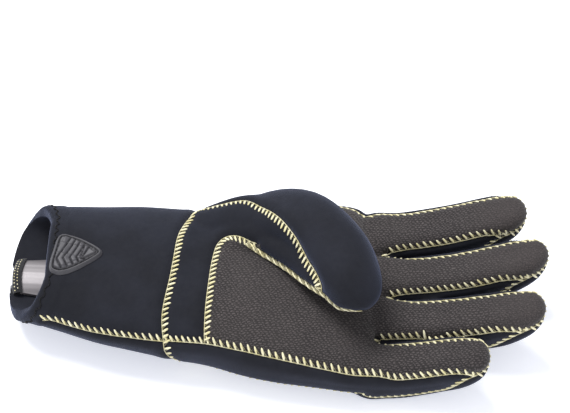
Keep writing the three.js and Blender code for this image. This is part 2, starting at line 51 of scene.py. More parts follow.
WALL = 5.0
CUFF_LENGTH = 63.0
CUFF_TAB = 27.0
CUFF_WIDTH = 75.0
CUFF_HEIGHT = 41.0
WRIST_WIDTH = 89.0
PALM_LENGTH = 103.0
PALM_WIDTH = 104.0
PALM_HEIGHT = 36.0
ZIP_LIFT = 7.0
FINGER_THICKNESS = 24.5
REST_SAG = 1.8
THUMB_LENGTH = 98.0
THUMB_WIDTH = 33.0
THUMB_THICKNESS = 27.0
ZIP_LENGTH = 108.0
ZIP_WIDTH = 20.0
WRIST_X = -51.0
HEM_X = WRIST_X - CUFF_LENGTH
KNUCKLE_X = WRIST_X + PALM_LENGTH
ZIP_START_X = HEM_X - CUFF_TAB + 1
ZIP_TILT = math.atan(ZIP_LIFT / ZIP_LENGTH)
SLOPE_END_X = ZIP_START_X + 1.075 * ZIP_LENGTH
SPLIT_Z = 0.52 * PALM_HEIGHT

SKIN_STEP = 1.1  # size of the skin's small faces
SKIN_PASSES = 5  # how often it is smoothed
SEAM_DEPTH = 1.1  # how deep the neoprene is drawn in by the thread
SEAM_REACH = 1.7  # and how far from the seam
PUCKER = 0.16  # how much it rises and falls with the stitches
PUCKER_REACH = 2.6
PILLOW = 0.35  # how much it swells beside the seam, and where
PILLOW_AT = 4.6
PILLOW_REACH = 2.8
FOLD = 0.3  # how much it waves elsewhere, and the size of the waves
FOLD_SIZE = 26.0
EDGE_ROUND = 2.2  # the radius of the cut edges
FAR = 30.0  # distances past this are all the same
STITCH_PITCH = 2.75
FINE_PITCH = STITCH_PITCH / 4

# Fingers, from the index to the little one: length and width, the root across the palm as a share
# of its width, drift of the tip and bow as shares of the length, rise of the tip, and how far the
# crotch lies behind. The two outer fingers flare out on their outer side: by how much, and its
# middle and reach along them.
FINGERS = [
    dict(length=79.0, width=28.3, root=0.37, drift=0.1, bow=-0.03, rise=18.5, back=0.0,
         flare=(3.8, -0.07, 0.2)),
    dict(length=86.0, width=26.4, root=0.111, drift=-0.04, bow=0.055, rise=23.0, back=0.0),
    dict(length=81.0, width=26.6, root=-0.14, drift=-0.085, bow=0.03, rise=21.5, back=0.5),
    dict(length=59.0, width=23.2, root=-0.385, drift=0.02, bow=-0.09, rise=17.0, back=8.0,
         flare=(-3.2, 0.24, 0.33)),
]
SQUEEZE = 0.55  # how much closer together the fingers' middle lines start inside the palm
FINGER_SQUARE = 2.9
THUMB_SQUARE = 2.3

# The glove's sections from the open end to the knuckles: part, place along it, middle, width, top
# and squareness, as shares of the cuff's, wrist's or palm's sizes.
BODY_ROWS = [
    ("cuff", -0.62, 0.182, 0.86, 0.99, 2.25),
    ("cuff", -0.25, 0.178, 0.885, 1.0, 2.25),
    ("cuff", 0.05, 0.153, 0.97, 1.0, 2.25),
    ("cuff", 0.4, 0.12, 1.08, 0.99, 2.25),
    ("cuff", 0.75, 0.095, 1.15, 0.97, 2.3),
    ("wrist", 0.0, 0.08, 1.0, 1.05, 2.35),
    ("wrist", 0.16, 0.06, 1.012, 1.03, 2.4),
    ("palm", 0.36, 0.04, 0.935, 1.0, 2.5),
    ("palm", 0.6, 0.048, 1.045, 0.94, 2.6),
    ("palm", 0.8, 0.03, 1.065, 0.88, 2.7),
    ("palm", 0.91, 0.022, 1.055, 0.79, 2.9),
    ("palm", 0.96, 0.02, 1.025, 0.66, 3.0),
]
# Place along a finger, width and thickness
FINGER_ROWS = [
    (-0.42, 0.6, 0.62),
    (-0.16, 0.9, 0.92),
    (0.03, 1.01, 1.03),
    (0.15, 0.945, 1.02),
    (0.4, 0.965, 1.0),
    (0.66, 0.97, 0.98),
    (0.82, 0.9, 0.92),
    (0.92, 0.73, 0.77),
    (0.98, 0.42, 0.46),
    (1.0, 0.12, 0.14),
]
# Place of the thumb's middle in shares of its length, then width and thickness
THUMB_ROWS = [
    (0.14, 0.16, 0.21, 0.86, 0.8),
    (0.34, 0.27, 0.29, 1.0, 0.98),
    (0.51, 0.31, 0.375, 1.04, 1.04),
    (0.655, 0.25, 0.45, 1.04, 1.04),
    (0.77, 0.115, 0.49, 1.0, 1.02),
    (0.86, -0.05, 0.5, 0.96, 0.98),
    (0.905, -0.185, 0.485, 0.86, 0.9),
    (0.928, -0.268, 0.472, 0.62, 0.64),
    (0.936, -0.31, 0.46, 0.2, 0.22),
]
# The fold of band that fills the hollow side of the thumb, in the same shares
WEB_ROWS = [
    (0.357, 0.264, 0.337, 0.242, 0.296),
    (0.439, 0.198, 0.372, 0.364, 0.444),
    (0.541, 0.119, 0.396, 0.45, 0.55),
    (0.633, 0.037, 0.414, 0.47, 0.575),
    (0.704, -0.056, 0.432, 0.42, 0.51),
    (0.776, -0.15, 0.455, 0.34, 0.41),
    (0.83, -0.215, 0.462, 0.25, 0.3),
]
# The swell that leads from the wrist into the thumb's outer side
ROOT_ROWS = [
    (0.0, 0.346, 0.19, 0.42, 0.5),
    (0.061, 0.354, 0.23, 0.56, 0.68),
    (0.214, 0.362, 0.288, 0.64, 0.78),
    (0.367, 0.345, 0.336, 0.82, 0.97),
    (0.52, 0.31, 0.37, 0.9, 1.0),
    (0.642, 0.254, 0.43, 0.7, 0.8),
]
THUMB_ANCHOR = (WRIST_X, 0.03 * PALM_WIDTH)

# Seam lines seen from above, as shares of the palm's length and width from the wrist
WRIST_PALM = [
    (-0.04, -0.46), (-0.04, -0.36), (-0.05, -0.23), (-0.04, -0.14), (-0.02, -0.03),
    (-0.005, 0.1), (0.01, 0.24), (0.042, 0.34), (0.09, 0.46), (0.12, 0.56),
]
WRIST_BACK = [
    (-0.14, -0.46), (-0.04, -0.36), (0.11, -0.25), (0.25, -0.17), (0.34, -0.04),
    (0.37, 0.13), (0.353, 0.22), (0.31, 0.32), (0.09, 0.46), (-0.09, 0.56),
]
PALM_EDGE = [
    (0.152, -0.58), (0.152, -0.325), (0.156, -0.188), (0.17, -0.027), (0.183, 0.091),
    (0.201, 0.186), (0.216, 0.212), (0.246, 0.222), (0.281, 0.218), (0.316, 0.206),
    (0.35, 0.185), (0.389, 0.165), (0.423, 0.155), (0.466, 0.163), (0.524, 0.21),
    (0.583, 0.317), (0.65, 0.452), (0.69, 0.72),
]
# And as shares of the thumb's length from its anchor
THUMB_SEAM = [
    (0.05, 0.6), (0.092, 0.45), (0.214, 0.413), (0.357, 0.386), (0.436, 0.315), (0.513, 0.226),
    (0.589, 0.11), (0.672, -0.047), (0.72, -0.137), (0.745, -0.22), (0.77, -0.42),
]

# The side seams' heights in the palm: share of its length from the wrist, share of its height
PALM_SEAM_ROWS = [(-0.2, 0.775), (0.16, 0.785), (0.36, 0.77), (0.56, 0.72), (0.76, 0.66)]
BACK_SEAM_ROWS = [(0.0, 0.24), (0.9, 0.24)]
# The fingers' seams, as shares of half their thickness over or under their middle
SEAM_NEAR = 0.62  # on the side towards the little finger
SEAM_FAR = 0.85  # on the side towards the thumb
SEAM_NEAR_TIP = 0.0  # and where they run out to at the tip
SEAM_FAR_TIP = 0.6
SEAM_OUTER = 0.2  # how much higher it starts on the hand's two outer sides
SEAM_CROTCH = 0.6
SEAM_BACK = -0.5
CLOSE_FROM = 0.64  # the side walls run out between these shares of a finger's length
CLOSE_AT = 0.92

# The open end in side view: shares of the tab past the hem, and of the cuff's height
OPEN_END = [(0.06, 1.2), (0.06, 0.96), (0.2, 0.86), (0.38, 0.7), (0.62, 0.46), (0.82, 0.27),
            (1, 0.12), (1, -1.2)]


# Curves and rows

def smooth_rows(rows, steps):
    """Rows in between the given ones, on a smooth curve through each column."""
    table = np.array(rows, float)
    padded = np.vstack([2 * table[0] - table[1], table, 2 * table[-1] - table[-2]])
    out = []
    for i in range(1, len(padded) - 2):
        p0, p1, p2, p3 = padded[i - 1:i + 3]
        for t in np.linspace(0, 1, steps, endpoint=False):
            out.append(0.5 * (2 * p1 + (p2 - p0) * t + (2 * p0 - 5 * p1 + 4 * p2 - p3) * t**2
                              + (3 * p1 - p0 - 3 * p2 + p3) * t**3))
    out.append(table[-1])
    return np.array(out)


def placed(rows, anchor, length_x, length_y):
    return np.array([(anchor[0] + x * length_x, anchor[1] + y * length_y) for x, y in rows])


def closed_curve(corners, steps=6):
    """A smooth closed line through corners, given anticlockwise."""
    corners = np.array(corners, float)
    wrapped = np.vstack([corners[-2:], corners, corners[:3]])
    return smooth_rows(wrapped, steps)[2 * steps:(len(corners) + 2) * steps + 1]


def on_palm(rows, steps=6):
    return smooth_rows(placed(rows, (WRIST_X, 0), PALM_LENGTH, PALM_WIDTH), steps)


def back_z(x):
    return (SLOPE_END_X - x) * math.tan(ZIP_TILT)


def smoothstep(low, high, value):
    t = np.clip((value - low) / (high - low), 0, 1)
    return t * t * (3 - 2 * t)


def hump(value, middle, width):
    """A soft hump of height 1 round a middle."""
    return np.exp(-((value - middle) / width) ** 2)


# The whole form: lofts through oval sections, made one skin

def oval(turn, half, rise, square):
    c, s = math.cos(turn), math.sin(turn)
    u = math.copysign(half * abs(c) ** (2 / square), c)
    v = math.copysign(rise * abs(s) ** (2 / square), s)
    return u, v


def loft(bm, sections, sides):
    """A closed skin through sections, each a function from a turn to a point."""
    rings = []
    for i, place in enumerate(sections):
        end = i in (0, len(sections) - 1)
        verts = bmesh.ops.create_circle(bm, segments=sides, radius=1, cap_ends=end)["verts"]
        for v in verts:
            v.co = place(math.atan2(v.co.y, v.co.x))
        rings.append(list({e for v in verts for e in v.link_edges}))
    for near, far in zip(rings, rings[1:]):
        bmesh.ops.bridge_loops(bm, edges=near + far)


def body_station(row):
    part, along, middle, width, top, square = row
    cuff = part == "cuff"
    x = HEM_X + along * CUFF_LENGTH if cuff else WRIST_X + along * PALM_LENGTH
    wide = {"cuff": CUFF_WIDTH, "wrist": WRIST_WIDTH, "palm": PALM_WIDTH}[part]
    high = CUFF_HEIGHT if cuff else PALM_HEIGHT
    low = -REST_SAG if part == "palm" else back_z(x)
    return x, middle * PALM_WIDTH, width * wide / 2, top * high, low, square


def body_section(station):
    x, middle, half, top, low, square = station

    def place(turn):
        u, v = oval(turn, half, (top - low) / 2, square)
        return x, middle + u, max((top + low) / 2 + v, 0)
    return place


def crotch_x(finger):
    return KNUCKLE_X - finger["back"]


def finger_y(finger, t):
    root = finger["root"] * PALM_WIDTH
    inside = root * (1 + SQUEEZE * np.minimum(t, 0))
    ahead = np.maximum(t, 0)
    return inside + finger["length"] * (finger["drift"] * ahead + finger["bow"] * ahead**2)


def finger_z(finger, t):
    return (FINGER_THICKNESS - REST_SAG) / 2 + finger["rise"] * np.maximum(t, 0) ** 2


def finger_section(finger, row):
    t, width, thickness = row
    half, rise = width * finger["width"] / 2, thickness * FINGER_THICKNESS / 2
    most, middle, reach = finger.get("flare", (0, 0, 1))
    flare = most * math.exp(-((t - middle) / reach) ** 2)

    def place(turn):
        u, v = oval(turn, half, rise, FINGER_SQUARE)
        u += flare * max(math.copysign(1, most) * u / half, 0) * (0.7 - 0.3 * v / rise)
        return (crotch_x(finger) + t * finger["length"], finger_y(finger, t) + u,
                max(finger_z(finger, t) + v, 0))
    return place


def thumb_sections(shares):
    rows = smooth_rows(shares, 4)
    path = [Vector((*THUMB_ANCHOR, 0)) + Vector(row[:3]) * THUMB_LENGTH for row in rows]
    sections = []
    for i, row in enumerate(rows):
        ahead = (path[min(i + 1, len(path) - 1)] - path[max(i - 1, 0)]).normalized()
        side = Vector((0, 0, 1)).cross(ahead).normalized()
        up = ahead.cross(side)

        def place(turn, i=i, row=row, side=side, up=up):
            half, rise = row[3] * THUMB_WIDTH / 2, row[4] * THUMB_THICKNESS / 2
            u, v = oval(turn, half, rise, THUMB_SQUARE)
            return path[i] + side * u + up * v
        sections.append(place)
    return sections


def new_object(name, bm):
    mesh = bpy.data.meshes.new(name)
    bm.to_mesh(mesh)
    obj = bpy.data.objects.new(name, mesh)
    bpy.context.scene.collection.objects.link(obj)
    return obj


def one_skin(bm, step):
    """All the closed forms of a bmesh as one even skin, eased where they meet."""
    obj = new_object("form", bm)
    remesh = obj.modifiers.new("skin", "REMESH")
    remesh.mode = "VOXEL"
    remesh.voxel_size = step
    graph = bpy.context.evaluated_depsgraph_get()
    mesh = bpy.data.meshes.new_from_object(obj.evaluated_get(graph))
    bpy.data.objects.remove(obj)
    skin = bmesh.new()
    skin.from_mesh(mesh)
    for _ in range(SKIN_PASSES):
        bmesh.ops.smooth_vert(skin, verts=skin.verts, factor=0.5,
                              use_axis_x=True, use_axis_y=True, use_axis_z=True)
    return skin


def coords(bm):
    return np.array([v.co for v in bm.verts])


def face_centres(bm):
    return np.array([f.calc_center_median() for f in bm.faces])


def drop_faces(bm, gone):
    bmesh.ops.delete(bm, geom=[f for f, g in zip(bm.faces, gone) if g], context="FACES")


def smooth_faces(bm, smooth=True):
    for f in bm.faces:
        f.smooth = smooth
    return bm


def second_face(bm):
    """Gives a sheet a second face and the walls between, and returns that face's vertices."""
    made = bmesh.ops.extrude_face_region(bm, geom=bm.faces[:], use_keep_orig=True)["geom"]
    return [v for v in made if isinstance(v, bmesh.types.BMVert)]


def face_out(bm):
    """Turns the faces of a closed piece outward. The recalculation alone can leave a thin piece
    inside out, with a volume below nought."""
    bmesh.ops.recalc_face_normals(bm, faces=bm.faces)
    if bm.calc_volume(signed=True) < 0:
        bmesh.ops.reverse_faces(bm, faces=bm.faces)


def inward(vert):
    """The way from a vertex to the middle of its faces."""
    centres = [f.calc_center_median() for f in vert.link_faces]
    return sum(centres, Vector()) / len(centres) - vert.co


def point_tree(points):
    tree = KDTree(len(points))
    for i, p in enumerate(points):
        tree.insert(Vector(p), i)
    tree.balance()
    return tree


# Seam surfaces: each is a field over points that is nought on the seam

def side_of(line, points):
    """Signed distance from above to a line, positive to its left."""
    a, d = line[:-1], line[1:] - line[:-1]
    best = np.full(len(points), np.inf)
    signed = np.zeros(len(points))
    for (ax, ay), (dx, dy) in zip(a, d):
        rx, ry = points[:, 0] - ax, points[:, 1] - ay
        t = np.clip((rx * dx + ry * dy) / (dx * dx + dy * dy), 0, 1)
        away = np.hypot(rx - t * dx, ry - t * dy)
        side = np.sign(dx * ry - dy * rx)
        nearer = away < best
        best[nearer] = away[nearer]
        signed[nearer] = (away * np.where(side == 0, 1, side))[nearer]
    return signed


def past_wrist(points):
    """Positive on the hand, negative on the cuff."""
    on_top = smoothstep(SPLIT_Z - 3, SPLIT_Z + 3, points[:, 2])
    palm, back = on_palm(WRIST_PALM), on_palm(WRIST_BACK)
    x_palm = np.interp(points[:, 1], palm[:, 1], palm[:, 0])
    x_back = np.interp(points[:, 1], back[:, 1], back[:, 0])
    return points[:, 0] - (x_palm * on_top + x_back * (1 - on_top))


def zone(points):
    """Which finger a point belongs to, by its place across the hand."""
    k = np.zeros(len(points), int)
    for a, b in zip(FINGERS, FINGERS[1:]):
        ta, tb = ((points[:, 0] - crotch_x(f)) / f["length"] for f in (a, b))
        edge = (finger_y(a, np.maximum(ta, 0)) - a["width"] / 2
                + finger_y(b, np.maximum(tb, 0)) + b["width"] / 2) / 2
        k += points[:, 1] < edge
    return k


def above_seam(points, side):
    """Height over the palm's seam (side 1) or the back's seam (side -1)."""
    x, k = points[:, 0], zone(points)
    height = np.zeros(len(points))
    rows = PALM_SEAM_ROWS if side > 0 else BACK_SEAM_ROWS
    rows = placed(rows, (WRIST_X, 0), PALM_LENGTH, PALM_HEIGHT)
    thick = smooth_rows(FINGER_ROWS, 4)
    for i, f in enumerate(FINGERS):
        t = (x - crotch_x(f)) / f["length"]
        half = np.interp(np.maximum(t, 0), thick[:, 0], thick[:, 2]) * FINGER_THICKNESS / 2
        across = smoothstep(-3, 3, points[:, 1] - finger_y(f, np.maximum(t, 0)))
        spread = smoothstep(0.06, 0.25, t)
        near = SEAM_NEAR + (SEAM_NEAR_TIP - SEAM_NEAR) * smoothstep(0.68, 0.97, t)
        far = SEAM_FAR + (SEAM_FAR_TIP - SEAM_FAR) * smoothstep(0.86, 1.0, t)
        outer = across * (i == 0) + (1 - across) * (i == len(FINGERS) - 1)
        crotch = SEAM_CROTCH + SEAM_OUTER * outer
        share = crotch + (near + (far - near) * across - crotch) * spread
        if side < 0:
            closed = smoothstep(CLOSE_FROM, CLOSE_AT, t)
            share = SEAM_BACK + (share - SEAM_BACK) * closed
            crotch = SEAM_BACK
        on_finger = finger_z(f, t) + share * half
        at_crotch = finger_z(f, 0) + crotch * FINGER_THICKNESS / 2
        last_x, last_z = rows[-1]
        run_out = np.clip((x - last_x) / (crotch_x(f) - last_x), 0, 1)
        in_palm = np.where(x < last_x, np.interp(x, rows[:, 0], rows[:, 1]),
                           last_z + (at_crotch - last_z) * run_out)
        height = np.where(k == i, np.where(t >= 0, on_finger, in_palm), height)
    return points[:, 2] - height


def past_end(points):
    """Positive beyond the cuff's open end."""
    line = np.array([(HEM_X - x * CUFF_TAB, z * CUFF_HEIGHT) for x, z in OPEN_END])[::-1]
    return np.interp(points[:, 2], line[:, 1], line[:, 0]) - points[:, 0]


ZIP_Y = 0.154 * PALM_WIDTH
ZIP_FRAME = (Matrix.Translation((ZIP_START_X, ZIP_Y, back_z(ZIP_START_X)))
             @ Matrix.Rotation(ZIP_TILT, 4, "Y"))


def in_slot(points):
    """Positive inside the zip's slot, whose inner end is round."""
    radius = ZIP_WIDTH / 2
    x = np.maximum(points[:, 0] - (ZIP_START_X + ZIP_LENGTH - radius), 0)
    inside = radius - np.hypot(x, points[:, 1] - ZIP_Y)
    return np.where(points[:, 2] < SPLIT_Z, inside, -radius)


def cut_along(bm, field, snap=0.25):
    """Makes the line where a field is nought run along edges of the skin."""
    bm.verts.ensure_lookup_table()
    bm.verts.index_update()
    value = field(coords(bm))
    on_line = {}
    for e in bm.edges:
        a, b = e.verts
        va, vb = value[a.index], value[b.index]
        if va * vb < 0:
            t = va / (va - vb)
            if t < snap:
                on_line.setdefault(a, a.co.lerp(b.co, t))
            elif t > 1 - snap:
                on_line.setdefault(b, a.co.lerp(b.co, t))
    for v, co in on_line.items():
        v.co = co
        value[v.index] = 0
    line = set(on_line)
    crossed = []
    for e in bm.edges:
        a, b = e.verts
        va, vb = value[a.index], value[b.index]
        if va * vb < 0:
            crossed.append((e, a, va / (va - vb)))
    for e, a, t in crossed:
        line.add(bmesh.utils.edge_split(e, a, t)[1])
    bmesh.ops.connect_verts(bm, verts=list(line))


BODY_SIDES = 72
TUBE_SIDES = 48
THUMB_SEAT = 1.1
THUMB_FAR = 20.0
THUMB_ROOM = ((-48, -40, 8), (65, 100, 100))  # the corners of the space round the thumb
UNDER_THUMB_X = -8  # behind this place the fabric runs on under the thumb


def thumb_gap_of(thumb_bvh):
    """The distance to the thumb's own surface, past a small seat."""
    def gap(points):
        away = np.full(len(points), THUMB_FAR)
        low, high = THUMB_ROOM
        for i in np.flatnonzero(((points > low) & (points < high)).all(axis=1)):
            hit = thumb_bvh.find_nearest(Vector(points[i]), THUMB_FAR)
            if hit[0] is not None:
                away[i] = hit[3]
        return away - THUMB_SEAT
    return gap


def build_form():
    bm = bmesh.new()
    stations = smooth_rows([body_station(r) for r in BODY_ROWS], 5)
    loft(bm, [body_section(s) for s in stations], BODY_SIDES)
    for f in FINGERS:
        loft(bm, [finger_section(f, r) for r in smooth_rows(FINGER_ROWS, 4)], TUBE_SIDES)
    thumb = bmesh.new()
    for rows in (THUMB_ROWS, WEB_ROWS, ROOT_ROWS):
        loft(thumb, thumb_sections(rows), TUBE_SIDES)
        loft(bm, thumb_sections(rows), TUBE_SIDES)
    bmesh.ops.recalc_face_normals(thumb, faces=thumb.faces)
    bvh = BVHTree.FromBMesh(thumb)
    bmesh.ops.recalc_face_normals(bm, faces=bm.faces)
    return one_skin(bm, SKIN_STEP), bvh


SIDE_PANELS = ["index_side_panel", "gusset_index_middle", "gusset_middle_ring",
               "gusset_ring_little", "little_side_panel"]
PANELS = ["cuff", "palm_panel", "back_panel", "thumb_outer_panel", "thumb_inner_band", *SIDE_PANELS]


def number(name):
    return PANELS.index(name)


class Seams:
    """The fields that part the skin into panels."""

    def __init__(self, thumb_bvh):
        self.thumb_gap = thumb_gap_of(thumb_bvh)
        self.palm_edge = on_palm(PALM_EDGE)
        seam = placed(THUMB_SEAM, THUMB_ANCHOR, THUMB_LENGTH, THUMB_LENGTH)
        self.thumb_seam = smooth_rows(seam, 6)

    def palm_side(self, points):
        """Positive on the palm fabric: past its edge and off the thumb."""
        off_thumb = np.maximum(self.thumb_gap(points), UNDER_THUMB_X - points[:, 0])
        return np.minimum(-side_of(self.palm_edge, points), off_thumb)

    def outer_side(self, points):
        return side_of(self.thumb_seam, points)

    def middle_gap(self, points):
        """How far a point lies to the thumb's side of each finger's middle line, which turns in
        to the middle of the hand behind the crotch."""
        out = []
        for f in FINGERS:
            x = crotch_x(f)
            t = (points[:, 0] - x) / f["length"]
            turn_from, turn_to = x - 0.35 * PALM_LENGTH, x - 0.15 * PALM_LENGTH
            turned_in = np.interp(points[:, 0], [turn_from, turn_to], [0.2, 1])
            out.append(points[:, 1] - finger_y(f, np.maximum(t, 0)) * turned_in)
        return out

    def panel_of(self, points):
        palm = above_seam(points, 1) > 0
        back = above_seam(points, -1) < 0
        on_thumb = self.thumb_gap(points) < 0
        fabric = self.palm_side(points) > 0
        outer = self.outer_side(points) > 0
        past_middle = [gap > 0 for gap in self.middle_gap(points)]
        *sides, little_side = [number(name) for name in SIDE_PANELS]
        side = np.select(past_middle, sides, little_side)
        thumb = np.where(outer, number("thumb_outer_panel"), number("thumb_inner_band"))
        panel = np.where(back, number("back_panel"), side)
        panel = np.where(palm & fabric, number("palm_panel"), panel)
        panel = np.where((palm & ~fabric) | (on_thumb & ~(palm & fabric)), thumb, panel)
        return np.where(past_wrist(points) < 0, number("cuff"), panel)


def cut_panels(bm, seams):
    """Cuts the skin along its seams and gives each face its panel's number."""
    for field in (past_end, in_slot):
        cut_along(bm, field)
        drop_faces(bm, field(face_centres(bm)) > 0)
    for field in (past_wrist, lambda p: above_seam(p, 1), lambda p: above_seam(p, -1),
                  seams.thumb_gap, seams.palm_side, seams.outer_side):
        cut_along(bm, field)
    numbers = seams.panel_of(face_centres(bm))
    for f, n in zip(bm.faces, numbers):
        f.material_index = int(n)
    drop_islands(bm)


def drop_islands(bm, least=60):
    """Small stray patches take the number of the panel round them."""
    seen = set()
    for start in bm.faces:
        if start in seen:
            continue
        own, patch, queue, round_it = start.material_index, [], [start], {}
        seen.add(start)
        while queue:
            f = queue.pop()
            patch.append(f)
            for e in f.edges:
                for g in e.link_faces:
                    if g.material_index != own:
                        round_it[g.material_index] = round_it.get(g.material_index, 0) + 1
                    elif g not in seen:
                        seen.add(g)
                        queue.append(g)
        if len(patch) < least and round_it:
            for f in patch:
                f.material_index = max(round_it, key=round_it.get)


def seam_chains(bm):
    """The seams as ordered rows of vertices: {(panel, panel): [rows]}."""
    edges = {}
    for e in bm.edges:
        if len(e.link_faces) == 2:
            a, b = sorted(f.material_index for f in e.link_faces)
            if a != b:
                edges.setdefault((a, b), set()).add(e)
    chains = {}
    for pair, left in edges.items():
        degree = {}
        for e in left:
            for v in e.verts:
                degree.setdefault(v, []).append(e)
        while left:
            ends = [v for v, es in degree.items() if sum(e in left for e in es) == 1]
            v = ends[0] if ends else next(iter(left)).verts[0]
            row = [v]
            while True:
                step = next((e for e in degree[v] if e in left), None)
                if step is None:
                    break
                left.discard(step)
                v = step.other_vert(v)
                row.append(v)
            if len(row) > 6:
                chains.setdefault(pair, []).append(row)
    return chains


def evened(points, pitch):
    """Points at an even pitch along a row, after the row is eased."""
    pts = np.array(points, float)
    closed = np.linalg.norm(pts[0] - pts[-1]) < 1e-6
    for _ in range(6):
        pts[1:-1] = (pts[:-2] + 2 * pts[1:-1] + pts[2:]) / 4
        if closed:
            pts[0] = pts[-1] = (pts[1] + pts[-2]) / 2
    steps = np.linalg.norm(np.diff(pts, axis=0), axis=1)
    along = np.concatenate([[0], np.cumsum(steps)])
    count = max(int(round(along[-1] / pitch)), 1)
    where = np.linspace(0, along[-1], count + 1)
    return np.stack([np.interp(where, along, pts[:, i]) for i in range(3)], axis=1)


# Seams off the panels' edges: along the cuff's little-finger side, and from the thumb's root to
# its tip
CUFF_SIDE_SEAM = [
    (-116.5, -18.6, 26.0), (-112.2, -20.7, 27.6), (-105.8, -22.6, 27.0), (-95.7, -25.4, 26.9),
    (-85.1, -28, 27.2), (-67.2, -31.5, 27.8), (-55.9, -32.9, 27.9),
]
THUMB_TIP_SEAM = [
    (-13.5, 22.0, 35.4), (-9.0, 18.0, 36.0), (-5.0, 14.2, 36.6), (1.3, 9.0, 38.0),
    (10.4, 1.4, 40.0), (17.4, -5.8, 42.0), (23.4, -12.2, 43.6), (28.7, -17.8, 43.8),
    (33.1, -22.1, 43.6), (37.4, -25.2, 43.4), (41.0, -26.8, 43.4),
]
# The welted lines on the back of the hand, as shares of the palm's length and width
BACK_LINES = [
    [(0.16, 0.54), (0.31, 0.49), (0.39, 0.49), (0.62, 0.53), (0.94, 0.57)],
    [(-0.05, 0.5), (0.1, 0.4), (0.33, 0.31), (0.45, 0.26), (0.56, 0.235), (1.0, 0.25)],
    [(0.1, -0.26), (0.23, -0.17), (0.42, -0.03), (0.53, 0.0), (0.98, 0.01)],
    [(0.22, -0.36), (0.33, -0.27), (0.44, -0.24), (0.72, -0.25)],
]

# Which panel of a pair carries the slanted stitches: the one that stands first here
STITCHED_OVER = [number(name) for name in (
    "palm_panel", "thumb_inner_band", *SIDE_PANELS, "thumb_outer_panel", "back_panel", "cuff")]
SIDES = {number(name) for name in SIDE_PANELS}
WIDE_PITCH = 3.5
DENSE_PITCH = 1.9
STITCH_WIDTH = 2.7
WIDE_STITCH = 3.1
CUFF_STITCH = 3.2
BACK_STITCH = 2.4  # where palm and back meet, the stitches reach over to both sides


class SeamRow:
    """A seam on the skin: points at an even pitch, with the skin's normal, the way along and the
    way across to the side that the slanted stitches lie on."""

    def __init__(self, points, normals, towards, pitch, pair, width, cord=False, back=0):
        self.pair, self.width, self.cord, self.back = pair, width, cord, back
        self.points = evened(points, pitch)
        tree = point_tree(points)
        near = [tree.find(p)[1] for p in self.points]
        self.normals = np.array([normals[i] for i in near], float)
        for _ in range(4):
            self.normals[1:-1] = (self.normals[:-2] + 2 * self.normals[1:-1] + self.normals[2:]) / 4
        self.normals /= np.linalg.norm(self.normals, axis=1)[:, None]
        self.along = np.gradient(self.points, axis=0)
        self.along /= np.linalg.norm(self.along, axis=1)[:, None]
        across = np.cross(self.normals, self.along)
        votes = sum(np.sign(np.dot(across[j], towards[i])) for j, i in enumerate(near))
        self.across = across * (1 if votes >= 0 else -1)


def rows_from_chains(chains, pitch):
    """A SeamRow for each seam between two panels."""
    out = []
    for (a, b), rows in chains.items():
        over = min((a, b), key=STITCHED_OVER.index)
        for row in rows:
            towards = []
            for v in row:
                centres = [f.calc_center_median() for f in v.link_faces if f.material_index == over]
                middle = sum(centres, Vector()) / max(len(centres), 1)
                towards.append(middle - v.co)
            wide = bool({a, b} & SIDES) and number("thumb_inner_band") not in (a, b)
            own_pitch = pitch or (WIDE_PITCH if wide else STITCH_PITCH)
            merged = {a, b} == {number("palm_panel"), number("back_panel")}
            out.append(SeamRow([v.co.copy() for v in row], [v.normal.copy() for v in row], towards,
                               own_pitch, {a, b}, WIDE_STITCH if wide else STITCH_WIDTH,
                               back=BACK_STITCH if merged else 0))
    return out


def row_on_skin(bvh, line, over, pitch, panel, width, cord=False):
    """A SeamRow along a line in space, laid on a panel, with its stitches towards a direction."""
    points, normals = [], []
    for p in evened(smooth_rows(line, 8), 1.0):
        hit = bvh.find_nearest(Vector(p))
        points.append(hit[0])
        normals.append(hit[1])
    towards = [Vector(over)] * len(points)
    return SeamRow(points, normals, towards, pitch, {number(panel)}, width, cord)


THUMB_PAIR = {number("thumb_inner_band"), number("thumb_outer_panel")}
FOLD_X = -10  # the thumb's fold hides the seam past this place along the hand
FOLD_Y = 34  # and to this side of it


def under_thumb(row):
    """Trims a seam where it runs out of sight under the fold of the thumb; True if none is left."""
    if number("palm_panel") in row.pair and row.pair & THUMB_PAIR:
        runs = np.flatnonzero((row.points[:, 0] < FOLD_X) | (row.points[:, 1] > FOLD_Y))
        if len(runs) < 4:
            return True
        breaks = np.flatnonzero(np.diff(runs) > 1)
        last = runs[breaks[0]] if len(breaks) else runs[-1]
        for key in ("points", "normals", "along", "across"):
            setattr(row, key, getattr(row, key)[runs[0]:last + 1])
    return False


def build_rows(bm, pitch=None):
    """The rows of all seams: at their own stitches' pitches, or all at one pitch."""
    bvh = BVHTree.FromBMesh(bm)
    rows = [r for r in rows_from_chains(seam_chains(bm), pitch) if not under_thumb(r)]
    rows.append(row_on_skin(bvh, CUFF_SIDE_SEAM, (0, 1, 1), pitch or WIDE_PITCH,
                            "cuff", CUFF_STITCH))
    rows.append(row_on_skin(bvh, THUMB_TIP_SEAM, (1, 0.9, 0.9), pitch or DENSE_PITCH,
                            "thumb_outer_panel", STITCH_WIDTH, cord=True))
    return rows


# The soft surface: seams drawn in, panels swelling beside them, rounded cut edges

def nearest_of(points, samples, reach):
    """Distance from each point to the nearest sample, and that sample's number."""
    tree = point_tree(samples)
    found = [tree.find(Vector(p)) for p in points]
    return np.minimum([f[2] for f in found], reach), np.array([f[1] for f in found])


def fold_noise(points, size, seed):
    """A slow, soft unevenness of the neoprene, between -1 and 1."""
    rng = np.random.default_rng(seed)
    out = np.zeros(len(points))
    for _ in range(7):
        way = rng.normal(size=3)
        way /= np.linalg.norm(way)
        wave = math.tau / (size * rng.uniform(0.7, 1.5))
        out += np.sin(points @ way * wave + rng.uniform(0, 6.28))
    return out / 4


